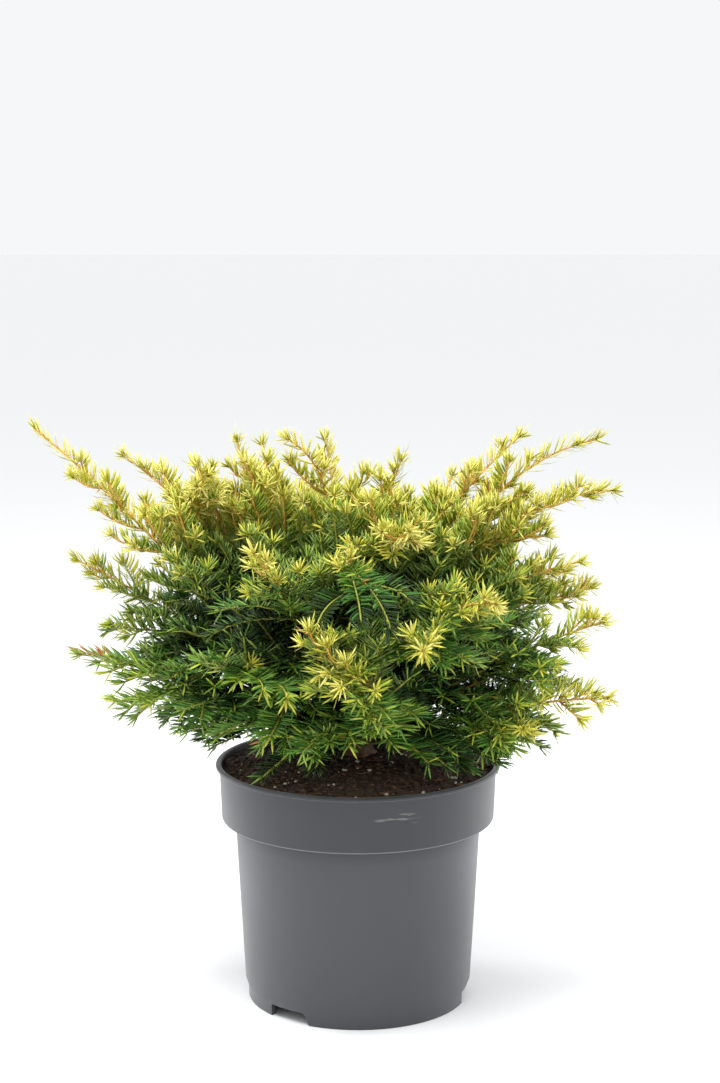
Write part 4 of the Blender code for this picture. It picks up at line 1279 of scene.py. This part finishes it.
def needles_on(shoot, rng):
    """Root, direction, face normal, length, tint and curl of each needle on a shoot."""
    total = length_of(shoot.points)
    dim = float(sunlight(shoot.points).mean()) + shoot.vigour < FLAT_LIGHT
    flat = not shoot.upright and (shoot.order != LEADER or dim)
    pitch = NEEDLE_PITCH * (CLOSER_IN_SHADE if flat and dim else 1.0)
    count = max(FEWEST_NEEDLES, round(total / pitch))
    jitter = rng.uniform(-PITCH_JITTER, PITCH_JITTER, count)
    share = (np.arange(count) + 0.5 + jitter) / count
    share = share[share > min(BARE_SHARE, BARE_FOOT / total)]
    count = len(share)
    along, across, up = frames(shoot.points, shoot.across)
    index = share * (len(shoot.points) - 1)

    def at(rows):
        return np.stack([np.interp(index, np.arange(len(rows)), rows[:, k]) for k in range(3)], axis=1)

    root, forward, right, high = at(shoot.points), unit(at(along)), unit(at(across)), unit(at(up))
    light = sunlight(root)
    sunny = float(np.clip(light.mean() * FULL_SUN, 0, 1))
    if flat:
        lift = rng.normal(in_sun(RANK_LIFT, sunny), in_sun(RANK_LIFT_SPREAD, sunny), count)
    else:
        lift = rng.uniform(*ROUND_LIFT, count)
    lift = np.radians(lift)[:, None]
    rank = np.where(np.arange(count) % 2, -1, 1)[:, None]
    out = np.cos(lift) * right * rank + np.sin(lift) * high
    sweep = in_sun(SWEEP, sunny) + SWEEP_AT_TIP * share**6
    sweep = sweep + rng.normal(0, in_sun(SWEEP_SPREAD, sunny), count)
    sweep = np.radians(sweep)[:, None]
    heading = np.cos(sweep) * out + np.sin(sweep) * forward
    vigour = shoot.vigour * (VIGOUR_AT_FOOT + (1 - VIGOUR_AT_FOOT) * share)
    swell = np.sin(np.pi * np.clip(share * SWELL_SPAN + SWELL_START, 0, 1)) ** SWELL_POWER
    length = NEEDLE_LENGTH * (END_NEEDLE_SHARE + (1 - END_NEEDLE_SHARE) * swell)
    length = length * rng.uniform(*LENGTH_JITTER, count) * LENGTH_BY_ORDER[shoot.order]
    length = length * (1 - SHORTER_IN_SUN * np.clip(light + vigour, 0, 1))
    normal = high * FACE_UP + forward * FACE_FORWARD + rng.normal(0, FACE_SPREAD, (count, 3))
    normal = unit(normal - (normal * heading).sum(axis=1, keepdims=True) * heading)
    # Painted light and shade: the tint is picked brighter where the computed light is high and darker
    # where it is low
    tints = tints_of(light, vigour, rng)
    dry = DRY_SHARE + (DRY_TIP_SHARE * smooth(share, *DRY_TIP) if shoot.dry else 0)
    tints[rng.random(count) < dry] = RUST
    curl = normal * rng.normal(in_sun(CURL_OUT, sunny), CURL_SPREAD, (count, 1))
    curl = curl + forward * rng.normal(CURL_FORWARD, CURL_SPREAD, (count, 1))
    return root, heading, normal, length, tints, curl


def tuft_on(shoot, rng):
    """The needles that crowd round a shoot's tip and point forwards."""
    along, across, up = frames(shoot.points, shoot.across)
    light = float(sunlight(shoot.points[-1]))
    count = TUFT_NEEDLES if light + shoot.vigour > STAR_LIGHT else TUFT_NEEDLES // 2
    turn = (np.arange(count) * np.radians(SPIRAL_TURN) + rng.uniform(0, 6))[:, None]
    out = np.cos(turn) * across[-1] + np.sin(turn) * up[-1]
    spread = np.radians(rng.uniform(*TUFT_SPREAD, count))[:, None]
    heading = unit(np.sin(spread) * out + np.cos(spread) * along[-1])
    root = np.repeat(shoot.points[-1:], count, axis=0)
    root = root - along[-1] * rng.uniform(0, TUFT_DEPTH, (count, 1))
    normal = unit(along[-1] - (along[-1] * heading).sum(axis=1, keepdims=True) * heading)
    length = rng.uniform(*TUFT_LENGTH, count)
    curl = normal * rng.normal(TUFT_CURL, TUFT_CURL_SPREAD, (count, 1))
    # Painted light and shade: the tuft's tints also follow the computed light at its place
    tints = tints_of(sunlight(root), shoot.vigour + TUFT_VIGOUR, rng)
    return root, heading, normal, length, tints, curl


# A needle's sections: how far along they are, and their share of the full width. The last two
# triangles and the last quad are its paler underside
STATIONS = ((0.0, 0.0), (0.20, 1.0), (0.66, 1.0), (1.0, 0.0))
NEEDLE_CORNERS = 8
NEEDLE_TRIS = np.array([(0, 2, 1), (0, 3, 2), (7, 4, 5), (7, 5, 6), (0, 1, 3), (7, 6, 4)])
NEEDLE_QUADS = np.array([(1, 2, 5, 4), (2, 3, 6, 5), (3, 1, 4, 6)])
KEEL = 0.34
FULL_WIDTH_LENGTH = 0.022
WIDTH_LIMITS = (0.75, 1.05)


def needle_corners(root, heading, normal, length, curl, rng):
    """Eight corners for each needle: a point at its root, two three-cornered sections, its tip."""
    width = NEEDLE_WIDTH * rng.uniform(*WIDTH_JITTER, len(root))
    width = width * np.clip(length / FULL_WIDTH_LENGTH, *WIDTH_LIMITS)
    sideways = np.cross(heading, normal)
    rows = []
    for share, wide in STATIONS:
        middle = root + (heading * share + curl * share**2) * length[:, None]
        if wide == 0:
            rows.append(middle[:, None])
            continue
        half = (width * wide / 2)[:, None]
        keel = middle + normal * half * KEEL
        rows.append(np.stack((middle - sideways * half, keel, middle + sideways * half), axis=1))
    return np.concatenate(rows, axis=1)


needle_finishes = [plain(name, colour, roughness=0.42, specular=0.28) for name, colour in NEEDLE_TINTS]
twig_routes = {name: [] for name, _ in TWIG_TINTS}
for number, (limb, route) in enumerate(layout):
    chance = random.Random(SEED + number)
    rng = np.random.default_rng(SEED + number)
    needles = []
    for shoot in grown(limb, route, chance):
        needles.append(needles_on(shoot, rng))
        needles.append(tuft_on(shoot, rng))
        line = stretch(shoot.points, 0, length_of(shoot.points), TWIG_STEP)
        taper = np.linspace(shoot.radius, BUD_RADIUS, len(line))[:, None]
        light = sunlight(line) + shoot.vigour * np.linspace(VIGOUR_AT_FOOT, 1, len(line))
        for first in range(0, len(line) - 1, TWIG_SECTION):
            section = slice(first, first + TWIG_SECTION + 1)
            # Partly the real colour of young shoots, partly painted light and shade: twigs are amber
            # where the computed light is high, green lower, and brown on dim leaders
            glow = light[section].mean()
            twig = "twig_amber" if glow > AMBER_ABOVE else "twig_green"
            if glow < BROWN_BELOW and shoot.order == LEADER:
                twig = "twig_brown"
            twig_routes[twig].append((line[section], taper[section], shoot.across))
    root, heading, normal, length, tints, curl = (np.concatenate(rows) for rows in zip(*needles))
    corners = needle_corners(root, heading, normal, length, curl, rng)
    fits = allowed(corners).all(axis=1)
    corners, tints = corners[fits], tints[fits]
    first = NEEDLE_CORNERS * np.arange(len(corners))[:, None, None]
    tris = (NEEDLE_TRIS[None] + first).reshape(-1, 3)
    quads = (NEEDLE_QUADS[None] + first).reshape(-1, 4)
    under = np.where(tints < UNDERSIDE_LIMIT, UNDERSIDE, tints - 2)
    under = np.where((tints == 0) | (tints == RUST), tints, under)
    slots = [
        np.stack([tints] * 4 + [under] * 2, axis=1).ravel(),
        np.stack([tints] * 2 + [under], axis=1).ravel(),
    ]
    piece = joined(f"needles_{limb.name}", corners.reshape(-1, 3), [tris, quads], slots)
    dressed(piece, f"needles_{limb.tone}", *needle_finishes)
    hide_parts(f"mass_{limb.name}")

for name, colour in TWIG_TINTS:
    piece = rope(f"{name}_shoots", twig_routes[name], TWIG_SIDES)
    piece.data.shade_smooth()
    dressed(piece, "bark", plain(name, colour, roughness=0.6))
